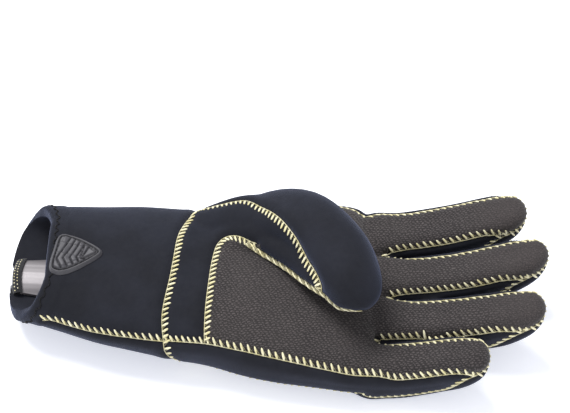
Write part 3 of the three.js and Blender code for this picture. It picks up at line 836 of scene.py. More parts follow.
PATCH_OUTLINE = [(-110.4, -0.9), (-106.4, -1.4), (-98.4, 1.9), (-90.2, 7.6), (-87.5, 11.2),
                 (-89.3, 14.5), (-96.6, 19.3), (-103.8, 22.4), (-108.7, 22.5), (-110.9, 19.6),
                 (-112.1, 12.6), (-113.2, 5.6), (-113.0, 1.2)]
BADGE_OUTLINE = [(-1.0, 4.0), (3.5, 1.2), (9.5, 1.5), (28.6, 15.4), (28.6, 20.4), (9.5, 31.0),
                 (3.5, 31.2), (-1.0, 27.6)]
BADGE_BED = 2.3
BACK_Z = 4  # the back's lines and the badge's bed lie below this height
WELT_AT = 3.2
WELT_RISE = 0.35
LINE_DEPTH = 0.75
HEM_WIDTH = 10.5
HEM_LIFT = 0.5
HEM_ROOM = 40  # how far from the open end the hem may lie
SEAM_GAP = 0.13


def dress_skin(bm, fine_rows):
    """Moves the skin's points in and out, and keeps what the inner wall needs."""
    bm.verts.ensure_lookup_table()
    bm.normal_update()
    points = coords(bm)
    normals = np.array([v.normal for v in bm.verts])
    samples = np.vstack([r.points for r in fine_rows])
    count = np.concatenate([np.arange(len(r.points)) for r in fine_rows])
    away, near = nearest_of(points, samples, FAR)
    stitch = np.cos(math.tau * count[near] * FINE_PITCH / STITCH_PITCH)
    drawn_in = SEAM_DEPTH * hump(away, 0, SEAM_REACH)
    pucker = PUCKER * stitch * hump(away, 0, PUCKER_REACH)
    pillow = PILLOW * hump(away, PILLOW_AT, PILLOW_REACH)
    lifted = smoothstep(0.5, 5.0, points[:, 2])
    offset = pillow * lifted + pucker - drawn_in + FOLD * fold_noise(points, FOLD_SIZE, 3) * lifted
    edge = [v.co.copy() for v in bm.verts if v.is_boundary]
    to_edge, _ = nearest_of(points, edge, FAR)
    round_off = np.maximum(EDGE_ROUND - to_edge, 0)
    offset -= EDGE_ROUND - np.sqrt(np.maximum(EDGE_ROUND**2 - round_off**2, 0))
    hem = (past_wrist(points) < 0) & (past_end(points) > -HEM_ROOM)
    hem_step = HEM_LIFT * (1 - smoothstep(HEM_WIDTH - 0.8, HEM_WIDTH + 0.8, to_edge))
    offset += np.where(hem, hem_step, 0)
    on_back = points[:, 2] < BACK_Z
    lines = [(x, y, 0.0) for line in BACK_LINES for x, y in on_palm(line, 10)]
    to_line, _ = nearest_of(points * [1, 1, 0.3], lines, FAR)
    welt = hump(to_line, WELT_AT, 1.7) * WELT_RISE - LINE_DEPTH * hump(to_line, 0, 1.1)
    offset += np.where(on_back, welt, 0)
    in_badge = side_of(closed_curve(BADGE_OUTLINE), points)
    offset -= np.where(on_back, BADGE_BED * smoothstep(-1.0, 0.3, in_badge), 0)
    inner = bm.verts.layers.float_vector.new("inner")
    # The seam layer holds nearness to a seam: the fabrics darken with it as painted shade in the
    # drawn-in seams.
    seam_shade_layer = bm.verts.layers.float.new("seam")
    moved = points + normals * offset[:, None]
    moved[:, 2] = np.maximum(moved[:, 2], 0.02)
    walls = points - normals * WALL
    for i, v in enumerate(bm.verts):
        v[inner] = Vector(walls[i])
        v[seam_shade_layer] = math.exp(-away[i] / 4)
        v.co = moved[i]


def panel_piece(skin, name):
    """One panel: its faces of the skin, given the neoprene's thickness."""
    bm = skin.copy()
    wanted = number(name)
    drop_faces(bm, [f.material_index != wanted for f in bm.faces])
    inner = bm.verts.layers.float_vector["inner"]
    shifts = {v: inward(v).normalized() * SEAM_GAP for v in bm.verts if v.is_boundary}
    for v, shift in shifts.items():
        v.co += shift
        v[inner] = Vector(v[inner]) + shift
    for v in second_face(bm):
        v.co = Vector(v[inner])
    face_out(bm)
    for f in bm.faces:
        f.material_index = 0
    return smooth_faces(bm)


def piece(name, bm, finish, body="glove", replaces=(), slot=None, sharp=None):
    """A finished piece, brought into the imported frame, that rides on its body."""
    bmesh.ops.transform(bm, matrix=TO_FRAME, verts=bm.verts)
    obj = new_object(name, bm)
    if sharp is not None:
        obj.data.set_sharp_from_angle(angle=math.radians(sharp))
    obj.data.materials.append(finish)
    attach(obj, body)
    if replaces:
        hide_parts(*replaces)
    return obj


# Thread: overlocked stitches of small tapered beads

def bead(bm, start, end, up, half_width, half_height, bright, sides=6, rings=5, swell=1.0):
    """A tapered bead of thread from start to end, lying on a surface whose normal is up: how much
    of its thread is left out of the painted shade, its sides and rings of faces, and how far it
    swells past its ends."""
    start, end, up = Vector(start), Vector(end), Vector(up)
    along = end - start
    length = along.length
    along.normalize()
    side = up.cross(along).normalized()
    top = along.cross(side)
    turn = Matrix((side, top, along)).transposed().to_4x4()
    size = Matrix.Diagonal((half_width, half_height, length / 2 * swell, 1))
    place = Matrix.Translation((start + end) / 2) @ turn @ size
    layer = bm.verts.layers.float.get("bright") or bm.verts.layers.float.new("bright")
    made = bmesh.ops.create_uvsphere(bm, u_segments=sides, v_segments=rings, radius=1, matrix=place)
    for v in made["verts"]:
        v[layer] = bright


def on_surface(bvh, point, up, lift):
    """The place on the skin straight under or over a point, lifted a little."""
    hit = bvh.ray_cast(point + up * 2.2, -up, 4.5)
    if hit[0] is None:
        hit = bvh.find_nearest(point)
    return hit[0] + up * lift


CORD_STRANDS = 4
CORD_RADIUS = 0.95
CORD_TURN = 1.25  # radians that a strand turns in one step
CORD_TAPER = 7  # steps over which the cord runs out
# How much of the cream thread's colour is kept: all of it, or a quarter, with painted shade, on the
# threads that lie lower and every other strand of the cord.
UNSHADED = 1.0
PAINTED_SHADE = 0.25


def cord_step(bm, row, i, start, end, up, across):
    """One step of the twisted cord of thread along the thumb's lower edge."""
    for strand in range(CORD_STRANDS):
        turn = i * CORD_TURN + strand * math.tau / CORD_STRANDS
        ends = []
        for step, place in enumerate((start, end)):
            size = min(1, (len(row.points) - 1 - i - step) / CORD_TAPER)
            angle = turn + step * CORD_TURN
            out = across * math.cos(angle) + up * math.sin(angle)
            ends.append(place + up * 0.5 + out * CORD_RADIUS * size)
        angle = turn + CORD_TURN / 2
        way = (across * math.cos(angle) + up * math.sin(angle)).normalized()
        thick = 0.35 + 0.25 * size
        # Painted shade on every other strand of the cord.
        bright = UNSHADED if strand % 2 else PAINTED_SHADE
        bead(bm, *ends, way, thick, thick * 0.9, bright, rings=6, swell=1.3)


def stitch_step(bm, row, i, bvh, rng):
    """One overlock stitch: a link of the cord on the seam, the slanted thread over the edge, and
    the thin thread that comes back."""
    up = Vector(row.normals[i] + row.normals[i + 1]).normalized()
    pitch = (Vector(row.points[i + 1]) - Vector(row.points[i])).length
    across = Vector(row.across[i])
    lean = up.cross(across) * pitch * 0.5
    start, end = (on_surface(bvh, Vector(row.points[j]) - Vector(row.across[j]) * 0.35, up, 0.4)
                  for j in (i, i + 1))
    if row.cord:
        cord_step(bm, row, i, start, end, up, across)
        return
    middle = (start + end) / 2
    if row.back:
        middle = on_surface(bvh, middle - across * row.back - lean * 0.5, up, 0.3)
    reach = row.width * rng.uniform(0.88, 1.08)
    between = Vector(row.points[i] + row.points[i + 1]) / 2
    far = on_surface(bvh, between + across * reach + lean, up, 0.3)
    near = end if (end - start).dot(lean) < 0 else start
    # Painted shade: the link of cord is partly darkened, the thread that comes back more.
    bead(bm, start, end, up, 0.3, 0.3, 0.6, swell=1.25)
    width = 0.6 * rng.uniform(0.9, 1.1)
    bead(bm, middle, far, up, width, 0.5, UNSHADED, sides=8, rings=6, swell=1.15)
    bead(bm, far, near, up, 0.17, 0.16, PAINTED_SHADE, sides=5, rings=4, swell=1.05)


CHUNK = 10  # stitches made at a time: beads are slow to add to a large mesh


def sewn(steps, stitch):
    """One mesh of all the stitches that a function adds for each step."""
    whole = bmesh.new()
    for first in range(0, len(steps), CHUNK):
        few = bmesh.new()
        for step in steps[first:first + CHUNK]:
            stitch(few, *step)
        mesh = bpy.data.meshes.new("few")
        few.to_mesh(mesh)
        few.free()
        whole.from_mesh(mesh)
        bpy.data.meshes.remove(mesh)
    return smooth_faces(whole)


def build_stitches(rows, bvh):
    groups = {
        "stitches_wrist": lambda pair: number("cuff") in pair,
        "stitches_palm": lambda pair: number("palm_panel") in pair,
        "stitches_back": lambda pair: number("back_panel") in pair,
        "stitches_thumb": lambda pair: True,
    }
    rng = random.Random(11)
    sorted_rows = {name: [] for name in groups}
    for row in rows:
        sorted_rows[next(n for n, test in groups.items() if test(row.pair))].append(row)
    for name, group in sorted_rows.items():
        steps = [(row, i) for row in group for i in range(len(row.points) - 1)]
        piece(name, sewn(steps, lambda bm, row, i: stitch_step(bm, row, i, bvh, rng)), thread)


# Finishes: shader maths as Python expressions

class Value:
    """A shader socket that takes part in arithmetic."""

    def __init__(self, finish, socket):
        self.finish, self.socket = finish, socket

    def maths(self, operation, *others, swap=False, clamp=False):
        values = [self, *others]
        if swap:
            values.reverse()
        settings = {"operation": operation, "use_clamp": clamp}
        return self.finish.add("ShaderNodeMath", settings, values)

    def __add__(self, other):
        return self.maths("ADD", other)

    def __sub__(self, other):
        return self.maths("SUBTRACT", other)

    def __rsub__(self, other):
        return self.maths("SUBTRACT", other, swap=True)

    def __mul__(self, other):
        return self.maths("MULTIPLY", other)

    def __truediv__(self, other):
        return self.maths("DIVIDE", other)

    __radd__ = __add__

    def sin(self):
        return self.maths("SINE")

    def floor(self):
        return self.maths("FLOOR")

    def absolute(self):
        return self.maths("ABSOLUTE")

    def clamp(self):
        return self.maths("ADD", 0.0, clamp=True)

    def ramp(self, low, high):
        settings = {"interpolation_type": "SMOOTHSTEP"}
        return self.finish.add("ShaderNodeMapRange", settings, [self, low, high])


class Finish:
    """A material under construction: one Principled shader and the nodes that feed it."""

    def __init__(self, name, **constants):
        self.material = bpy.data.materials.new(name)
        self.material.use_nodes = True
        self.tree = self.material.node_tree
        self.shader = self.tree.nodes["Principled BSDF"]
        for key, value in constants.items():
            self.shader.inputs[key.replace("_", " ")].default_value = value

    def add(self, kind, settings=None, values=(), output=0):
        """One node: its settings first, then the values or links of its sockets in order."""
        node = self.tree.nodes.new(kind)
        for key, value in (settings or {}).items():
            if key == "stops":
                ramp = node.color_ramp
                while len(ramp.elements) < len(value):
                    ramp.elements.new(0.5)
                for element, (place, colour) in zip(ramp.elements, value):
                    element.position, element.color = place, colour
            else:
                setattr(node, key, value)
        pairs = values.items() if isinstance(values, dict) else enumerate(values)
        for key, value in pairs:
            self.feed(node.inputs[key], value)
        return Value(self, node.outputs[output])

    def feed(self, socket, value):
        if isinstance(value, Value):
            self.tree.links.new(value.socket, socket)
        elif value is not None:
            socket.default_value = value

    def millimetres(self):
        """Object coordinates in millimetres, as three values and a vector."""
        place = self.add("ShaderNodeTexCoord", output="Object")
        vector = self.add("ShaderNodeVectorMath", {"operation": "SCALE"},
                          {0: place, "Scale": 1 / MM})
        split = self.add("ShaderNodeSeparateXYZ", None, [vector])
        axes = [Value(self, split.socket.node.outputs[i]) for i in range(3)]
        return (*axes, vector)

    def noise(self, vector, scale, detail=2.0):
        return self.add("ShaderNodeTexNoise", None,
                        {"Vector": vector, "Scale": scale, "Detail": detail, "Roughness": 0.5})

    def stretched(self, vector, shares):
        return self.add("ShaderNodeVectorMath", {"operation": "MULTIPLY"}, [vector, shares])

    def attribute(self, name):
        return self.add("ShaderNodeAttribute", {"attribute_name": name}, output="Fac")

    def mix(self, factor, low, high):
        node = self.tree.nodes.new("ShaderNodeMix")
        node.data_type = "RGBA"
        self.feed(node.inputs[0], factor)
        self.feed(node.inputs[6], low)
        self.feed(node.inputs[7], high)
        return Value(self, node.outputs[2])

    def done(self, colour, roughness, height=None, distance=0.0002, strength=0.6):
        self.feed(self.shader.inputs["Base Color"], colour)
        self.feed(self.shader.inputs["Roughness"], roughness)
        if height is not None:
            bump = self.add("ShaderNodeBump", None,
                            {"Strength": strength, "Distance": distance, "Height": height})
            self.feed(self.shader.inputs["Normal"], bump)
        return self.material


def srgb(*screen):
    """A linear colour from the red, green and blue that the eye sees, 0 to 255."""
    linear = [c / 255 / 12.92 if c < 10.3 else ((c / 255 + 0.055) / 1.055) ** 2.4 for c in screen]
    return (*linear, 1.0)


def neoprene_jersey():
    """Nylon jersey laminated on neoprene: a fine knit with a soft sheen, and painted shade that
    darkens it near the seams.
    """
    m = Finish("neoprene_jersey", Sheen_Weight=0.28, Sheen_Roughness=0.45,
               Sheen_Tint=srgb(145, 158, 200), Specular_IOR_Level=0.25)
    x, y, z, vector = m.millimetres()
    wales = ((x * 0.6 + y) * (math.tau / 0.75)).sin()
    courses = ((y * -0.6 + x + z) * (math.tau / 0.6)).sin()
    knit = wales * courses * 0.5 + m.noise(vector, 1.6, 3.0) * 0.7
    cloud = m.noise(vector, 0.035, 3.0)
    fleck = m.noise(vector, 2.6, 1.0).ramp(0.55, 0.75)
    # Painted shade: darker near the seams, where the skin is drawn in.
    tone = (cloud.ramp(0.35, 0.68) * 0.6 + fleck * 0.25 - m.attribute("seam") * 0.3).clamp()
    colour = m.mix(tone, srgb(18, 19, 25), srgb(31, 33, 42))
    return m.done(colour, 0.78 + m.noise(vector, 0.4) * 0.16, knit, 0.00012, 0.5)


def palm_fabric():
    """Grip fabric: short raised dashes in wavering rows on a dark knit, smoother at the tips."""
    m = Finish("grip_fabric", Sheen_Weight=0.15, Sheen_Roughness=0.5, Specular_IOR_Level=0.3)
    x, y, z, vector = m.millimetres()
    drift = m.noise(vector, 0.08, 2.0) * 5.0
    jitter = m.noise(vector, 0.5, 2.0)
    row = (y + z * 0.35 + drift + jitter * 1.5) / 1.2
    column = (x + jitter * 2.8 + m.noise(vector, 0.21, 1.0) * 2.0) / 2.1 + row.floor() * 0.37
    dash = ((column * math.tau).sin() * 0.5 + 0.5) * ((row * math.tau).sin() * 0.5 + 0.5)
    worn = x.ramp(92.0, 126.0)
    grip = (dash.ramp(0.08, 0.6) * (1 - worn * 0.75)).clamp()
    grain = m.noise(vector, 1.7, 3.0)
    cloud = m.noise(vector, 0.05, 2.0)
    low = m.mix(cloud.ramp(0.3, 0.7), srgb(31, 28, 29), srgb(39, 36, 36))
    high = m.mix(grain.ramp(0.3, 0.75), srgb(58, 53, 53), srgb(86, 79, 78))
    # Painted shade: darker near the seams, where the skin is drawn in.
    tone = (grip * 0.75 + worn * 0.32 + grain * 0.35 - m.attribute("seam") * 0.3).clamp()
    colour = m.mix(tone, low, high)
    return m.done(colour, 0.88 - grip * 0.2, grip * 0.8 + grain * 0.4, 0.00035, 0.7)


def cream_thread():
    m = Finish("cream_thread", Sheen_Weight=0.3, Specular_IOR_Level=0.4)
    x, y, z, vector = m.millimetres()
    twist = ((x + y + z) * (math.tau / 0.55)).sin() * 0.5 + 0.5
    tone = m.noise(vector, 0.3, 3.0).ramp(0.3, 0.7)
    colour = m.mix(tone, srgb(222, 212, 158), srgb(246, 241, 208))
    shade = m.mix(twist * 0.3, colour, srgb(168, 156, 100))
    # Painted shade: the beads set low in the layer darken towards olive, as on the lower threads
    # and every other strand of the cord.
    shade = m.mix(m.attribute("bright"), srgb(104, 97, 56), shade)
    return m.done(shade, 0.6 - twist * 0.1, twist, 0.0001, 0.5)


def black_thread():
    m = Finish("black_thread", Specular_IOR_Level=0.25)
    x, y, z, _ = m.millimetres()
    twist = ((x - y + z) * (math.tau / 0.5)).sin() * 0.5 + 0.5
    colour = m.mix(twist, srgb(4, 4, 6), srgb(13, 13, 16))
    return m.done(colour, 0.6 + twist * 0.15, twist, 0.0001, 0.5)


def moulded_rubber():
    """Matt moulded rubber, smoother on its ridges, with painted shade in its grooves and a painted
    highlight on its ridges.
    """
    m = Finish("moulded_rubber", Specular_IOR_Level=0.5)
    *_, vector = m.millimetres()
    grain = m.noise(vector, 1.2, 4.0)
    cloud = m.noise(vector, 0.12, 3.0)
    # Painted shade and highlight: darker in the grooves, lighter on the ridges, from the relief
    # layer.
    tone = (m.attribute("relief") * 0.75 + grain * 0.25 + cloud * 0.15).clamp()
    colour = m.mix(tone, srgb(20, 20, 23), srgb(70, 69, 74))
    return m.done(colour, 0.62 - m.attribute("relief") * 0.18 + grain * 0.1, grain, 0.0001, 0.35)


def badge_rubber():
    """The badge: a dark moulded border round a bare, slightly brushed silver-grey field."""
    m = Finish("badge_rubber", Specular_IOR_Level=0.5)
    *_, vector = m.millimetres()
    grain = m.noise(vector, 1.4, 4.0)
    field = m.attribute("field")
    silver = m.mix(grain, srgb(128, 129, 133), srgb(158, 159, 163))
    colour = m.mix(field, srgb(40, 40, 44), silver)
    return m.done(colour, 0.55 - field * 0.12 + grain * 0.12, grain, 0.0001, 0.4)


def silver_lining():
    """A smooth silver-coated skin, creased along its length, with painted shade that darkens it
    towards its edges.
    """
    m = Finish("silver_lining", Metallic=0.3, Specular_IOR_Level=0.5)
    _, y, _, vector = m.millimetres()
    streak = m.noise(m.stretched(vector, (0.12, 0.7, 0.7)), 0.4, 3.0)
    pores = m.noise(vector, 1.5, 3.0)
    # Painted shade: darker away from the middle line, as on a rounded surface.
    off_middle = (y - TONGUE_MIDDLE) / TONGUE_HALF
    shade = (off_middle * off_middle * 0.8 + streak * 0.3 - 0.1).clamp()
    colour = m.mix(shade, srgb(150, 146, 148), srgb(84, 80, 84))
    return m.done(colour, 0.46 + pores * 0.15, streak * 0.5 + pores * 0.4, 0.00015, 0.35)


def gunmetal():
    """Plated metal with fine scratches, and patches of wear that lighten it here and there."""
    m = Finish("gunmetal", Metallic=1.0)
    *_, vector = m.millimetres()
    scratch = m.noise(m.stretched(vector, (0.2, 1.4, 1.0)), 1.6, 5.0)
    wear = m.noise(vector, 0.5, 3.0).ramp(0.45, 0.7)
    colour = m.mix(wear, srgb(96, 97, 101), srgb(168, 168, 170))
    return m.done(colour, 0.28 + scratch * 0.22, scratch, 0.00005, 0.3)


def woven_tape():
    """Black herringbone tape."""
    m = Finish("woven_tape", Sheen_Weight=0.2, Specular_IOR_Level=0.3)
    x, y, _, vector = m.millimetres()
    zig = ((y / 1.6).sin().absolute() * 1.2 + x) * (math.tau / 0.9)
    weave = zig.sin() * 0.5 + 0.5
    colour = m.mix(weave * 0.7 + m.noise(vector, 0.8) * 0.3, srgb(13, 13, 15), srgb(34, 35, 39))
    return m.done(colour, 0.72 + weave * 0.12, weave, 0.0002, 0.6)


TONGUE_MIDDLE = ZIP_Y + HAND_ORIGIN.y
TONGUE_HALF = 12.0

neoprene = neoprene_jersey()
grip = palm_fabric()
thread = cream_thread()
dark_thread = black_thread()
rubber = moulded_rubber()
badge_finish = badge_rubber()
lining = silver_lining()
metal = gunmetal()
tape_finish = woven_tape()

form, thumb_bvh = build_form()
cut_panels(form, Seams(thumb_bvh))
seam_rows = build_rows(form)
dress_skin(form, build_rows(form, FINE_PITCH))
skin_bvh = BVHTree.FromBMesh(form)
for name in PANELS:
    finish, slot = (grip, "palm_fabric") if name == "palm_panel" else (neoprene, "neoprene")
    piece(name.replace("_panel", "") + "_sewn", panel_piece(form, name), finish, replaces=[name],
          slot=slot, sharp=60)
build_stitches(seam_rows, skin_bvh)


# Moulded plates: the ridged patch on the cuff and the badge on the back

def relief_plate(outline, relief, base, up, thickness, step):
    """A plate with a moulded face: its outline seen from above, and a relief over a base height.
    The relief gives, at each point, a height, how polished it is (also its painted shade and
    highlight) and which field it lies in."""
    edge = closed_curve(outline)
    low, high = edge.min(axis=0) - step, edge.max(axis=0) + step
    counts = [int(math.ceil(size / step)) for size in high - low]
    bm = bmesh.new()
    bmesh.ops.create_grid(bm, x_segments=counts[0], y_segments=counts[1], size=0.5)
    for v in bm.verts:
        share = np.array((v.co.x, v.co.y)) + 0.5
        v.co = (*(low + share * (high - low)), 0)
    cut_along(bm, lambda p: -side_of(edge, p))
    drop_faces(bm, side_of(edge, face_centres(bm)) < 0)
    points = coords(bm)
    height, polish_and_painted_shade, field = relief(points, side_of(edge, points))
    layers = [bm.verts.layers.float.new(name) for name in ("relief", "field")]
    ground = [base(x, y) for x, y, _ in points]
    for i, v in enumerate(bm.verts):
        v.co.z = ground[i] + up * height[i]
        v[layers[0]], v[layers[1]] = polish_and_painted_shade[i], field[i]
    for v in second_face(bm):
        v.co.z = base(v.co.x, v.co.y) - up * thickness
    face_out(bm)
    return smooth_faces(bm)


RIB_PITCH = 3.2
RIB_FIRST = -109.6
RIB_COUNT = 4
MARK = np.array([(-96.9, 7.9), (-91.6, 11.0), (-95.6, 14.3), (-96.9, 7.9)])
SHIELD = np.array([(13.5, 9.5), (24.0, 16.6), (24.0, 18.4), (13.5, 25.2), (12.6, 17.3),
                   (13.5, 9.5)])


def patch_relief(points, inside):
    """Chevron ribs and a plain triangle in a sunk field, inside a raised rim."""
    x, y = points[:, 0], points[:, 1]
    apex = 6.4 + 0.15 * (x + 109)
    slant = x - 0.485 * np.abs(y - apex)
    ribs = (slant - RIB_FIRST) / RIB_PITCH
    rib_groove = hump((ribs - np.clip(np.round(ribs), 0, RIB_COUNT)) * RIB_PITCH, 0, 0.4)
    step_up = np.where(ribs > RIB_COUNT, 0, 1 - (ribs - np.floor(ribs))) * 0.45
    to_mark = side_of(MARK, points)
    mark_groove = hump(to_mark, -1.0, 0.4)
    mark_rise = smoothstep(-0.8, -0.2, to_mark) * 0.4
    field = smoothstep(2.3, 2.8, inside)
    rim_groove = hump(inside, 2.0, 0.36)
    height = 0.5 + 1.5 * smoothstep(0, 1.1, inside) - 1.1 * rim_groove
    height += field * (step_up + mark_rise - 0.95 * rib_groove - 0.7 * mark_groove)
    # Low in the grooves, high on the steps: painted shade and a painted highlight in the rubber's
    # colour, and smoother ridges.
    polish_and_painted_shade = (0.75 - 0.8 * rim_groove - field * (0.75 * rib_groove + 0.6 * mark_groove)
              + 0.2 * field * step_up)
    return height, np.clip(polish_and_painted_shade, 0, 1), field


def badge_relief(points, inside):
    """A bare shield in a flat field, inside a rim that is ribbed along its long sides."""
    rim_groove = hump(inside, 3.0, 0.5)
    ribbed = np.cos((points[:, 0] * 0.83 - points[:, 1] * 0.55) * math.tau / 1.5)
    on_edge = smoothstep(0.4, 1.0, inside) * (1 - smoothstep(2.0, 2.5, inside))
    along_edge = on_edge * smoothstep(4.0, 12.0, points[:, 0])
    to_shield = side_of(SHIELD, points)
    shield_groove = hump(to_shield, -0.9, 0.45)
    height = 0.6 + 1.1 * smoothstep(0, 0.9, inside) - 0.7 * rim_groove - 0.6 * shield_groove
    height += 0.12 * ribbed * along_edge - 0.15 * smoothstep(3.4, 4.2, inside) * (to_shield < 0)
    field = smoothstep(3.4, 4.0, inside) * 0.45 + smoothstep(-0.6, -0.1, to_shield) * 0.55
    polish_and_painted_shade = 0.6 + 0.3 * ribbed * along_edge - 0.6 * rim_groove
    return height, np.clip(polish_and_painted_shade, 0, 1), np.clip(field - shield_groove, 0, 1)


def cuff_top(x, y):
    hit = skin_bvh.ray_cast(Vector((x, y, 80)), Vector((0, 0, -1)))
    return hit[0].z if hit[0] else CUFF_HEIGHT


BADGE_Z = 1.75

patch = relief_plate(PATCH_OUTLINE, patch_relief, cuff_top, 1, 0.5, 0.36)
piece("ridged_patch", patch, rubber, replaces=["cuff_patch"], slot="moulded_rubber", sharp=70)
badge = relief_plate(BADGE_OUTLINE, badge_relief, lambda x, y: BADGE_Z, -1, 0.25, 0.4)
piece("back_badge_moulded", badge, badge_finish, replaces=["back_badge"], slot="moulded_rubber",
      sharp=70)


# The hem: a zigzag of black thread along the open end

def boundary_rows(bm):
    """The free edges of a skin as closed rows of vertices, the longest first."""
    left = {e for e in bm.edges if e.is_boundary}
    rows = []
    while left:
        e = left.pop()
        row = [e.verts[0], e.verts[1]]
        while True:
            step = next((n for n in row[-1].link_edges if n in left), None)
            if step is None:
                break
            left.discard(step)
            row.append(step.other_vert(row[-1]))
        rows.append(row)
    return sorted(rows, key=len, reverse=True)


HEM_NEAR = 7.6
HEM_FAR = 12.6
HEM_STEP = 1.25
HEM_SHARES = (0, 0.5, 1, 0.5)  # how far in each point of the zigzag lies
HEM_THREAD = (0.5, 0.4)


def hem_places(bm):
    """Places at an even pitch along the open edge, each with the way inward."""
    edge = boundary_rows(bm)[0]
    points = [v.co.copy() for v in edge]
    ways = [inward(v).normalized() for v in edge]
    tree = point_tree(points)
    places = []
    for p in evened(points, HEM_STEP):
        near = tree.find_n(Vector(p), 9)
        places.append((Vector(p), sum((ways[i] for _, i, _ in near), Vector()).normalized()))
    return places


def hem_point(bvh, place, share):
    p, way = place
    hit = bvh.find_nearest(p + way * (HEM_NEAR + (HEM_FAR - HEM_NEAR) * share))
    return hit[0] + hit[1] * 0.12, hit[1]


def hem_stitches(bm, bvh):
    """A zigzag of two short stitches each way."""
    places = [p for p in hem_places(bm) if p[0].x < HEM_X + 6]

    def stitch(few, i):
        if (places[i + 1][0] - places[i][0]).length <= 2 * HEM_STEP:
            start, up = hem_point(bvh, places[i], HEM_SHARES[i % 4])
            end, _ = hem_point(bvh, places[i + 1], HEM_SHARES[(i + 1) % 4])
            if (end - start).length < 3.2 * HEM_STEP:
                bead(few, start, end, up, *HEM_THREAD, UNSHADED, swell=1.05)
    return sewn([(i,) for i in range(len(places) - 1)], stitch)


piece("hem_zigzag", hem_stitches(form, skin_bvh), dark_thread)


# The lining tongue behind the zip, in the zip's own frame: X along it, Z into the glove

TONGUE_START = 7.4
TONGUE_LENGTH = 70.0
TONGUE_Z = 7.5
TONGUE_ARCH = 3.6
TONGUE_THICK = 1.7


def tongue_arch(x, y):
    """Height of the tongue's upper face: crowned across, with soft creases along it."""
    crown = TONGUE_ARCH * (1 - (y / TONGUE_HALF) ** 2)
    creases = 0.12 * math.sin(y * 0.9 + x * 0.04 + 0.4) + 0.05 * math.sin(y * 2.1 + x * 0.05)
    return TONGUE_Z + crown + creases


def tongue_half(x):
    return float(np.interp(x - TONGUE_START, [0, 14, 58, 70], [10.0, 12.0, 12.0, 7.0]))


def tongue_sheet():
    bm = bmesh.new()
    bmesh.ops.create_grid(bm, x_segments=80, y_segments=40, size=1)
    for v in bm.verts:
        x = TONGUE_START + (v.co.x + 1) / 2 * TONGUE_LENGTH
        y = v.co.y * tongue_half(x)
        v.co = (x, y, tongue_arch(x, y))
    for v in second_face(bm):
        v.co.z -= TONGUE_THICK
    face_out(bm)
    return bm


BINDING_REACH = 4.6
BINDING_RISE = 1.9


def binding_point(along, turn):
    """The binding folds over the tongue's end: a half round across, following the crown."""
    y = along * (tongue_half(TONGUE_START) + 0.6)
    bow = 1.3 * along**2
    x = TONGUE_START + 0.4 + bow - BINDING_REACH * math.cos(turn)
    return Vector((x, y, tongue_arch(TONGUE_START, y) - 0.85 + BINDING_RISE * math.sin(turn)))


def tongue_binding():
    bm = bmesh.new()
    bmesh.ops.create_grid(bm, x_segments=36, y_segments=14, size=1)
    for v in bm.verts:
        v.co = binding_point(v.co.x, v.co.y * math.pi / 2)
    bmesh.ops.recalc_face_normals(bm, faces=bm.faces)
    bmesh.ops.solidify(bm, geom=bm.faces[:], thickness=0.4)
    bmesh.ops.recalc_face_normals(bm, faces=bm.faces)
    return bm


def binding_dots():
    bm = bmesh.new()
    for turn, shift in ((0.62, 0.0), (1.08, 0.5)):
        for i in range(11):
            along = -0.92 + (i + shift) * 0.168
            up = Vector((-0.3, 0, 1)).normalized()
            ends = [binding_point(along + step, turn) + up * 0.35 for step in (-0.03, 0.04)]
            bead(bm, *ends, up, 0.34, 0.3, UNSHADED)
    return bm


def in_zip_frame(bm, smooth=True):
    bmesh.ops.transform(bm, matrix=ZIP_FRAME, verts=bm.verts)
    return smooth_faces(bm, smooth)


piece("lining_tongue", in_zip_frame(tongue_sheet()), lining, replaces=["zip_tongue"],
      slot="silver_lining", sharp=50)
piece("tongue_binding", in_zip_frame(tongue_binding()), tape_finish, slot="zip_tape", sharp=60)
piece("binding_stitches", in_zip_frame(binding_dots()), thread)


# The zip: tape with two lips over the teeth, the teeth, the slider and its pull

TAPE_HALF = 9.6
TAPE_FACE = 1.8
TAPE_START = 2.6
TAPE_END = ZIP_LENGTH - 0.4
LIP_RISE = 1.9
LIP_OUTER = (6.4, 7.2)  # where the lips come down on their outer sides
TAPE_SEAM = 1.9


def lip_gap(x):
    """Half the opening between the lips: wide at the slider, shut further in."""
    return np.interp(x, [23, 42], [5.2, -0.8])


def tape_relief(points, inside):
    """Two soft lips with a slit between them, and a sewn line along the edge."""
    x, y = points[:, 0], np.abs(points[:, 1])
    lip = LIP_RISE * smoothstep(lip_gap(x) - 0.2, lip_gap(x) + 0.7, y)
    lip *= 1 - smoothstep(*LIP_OUTER, y) * 0.55
    lip *= 1 - smoothstep(TAPE_END - 9.5, TAPE_END - 7.5, x) * 0.55
    slit = 0.9 * hump(y, 0, 0.45) * smoothstep(40, 44, x) * (x < TAPE_END - 8.5)
    seam = 0.35 * hump(inside, TAPE_SEAM, 0.28)
    quilt = 0.08 * np.cos(x * math.tau / 2.2) * hump(inside, TAPE_SEAM, 0.8)
    height = np.maximum(lip, 0.5 * smoothstep(3.4, 2.6, inside)) - slit - seam + quilt
    return height, np.clip(0.5 + height / 4, 0, 1), np.zeros(len(points))


def tape_outline():
    start, middle = TAPE_START, TAPE_END - TAPE_HALF
    turns = np.linspace(-math.pi / 2, math.pi / 2, 9)
    round_end = [(middle + TAPE_HALF * math.cos(a), TAPE_HALF * math.sin(a)) for a in turns]
    straight = np.linspace(start, middle, 12)[1:-1]
    return [(start, -TAPE_HALF), *[(x, -TAPE_HALF) for x in straight], *round_end,
            *[(x, TAPE_HALF) for x in straight[::-1]], (start, TAPE_HALF), (start - 0.4, 0)]


TOOTH_PITCH = 1.95
TEETH_FROM = 4.5
TEETH_TO = 62.0


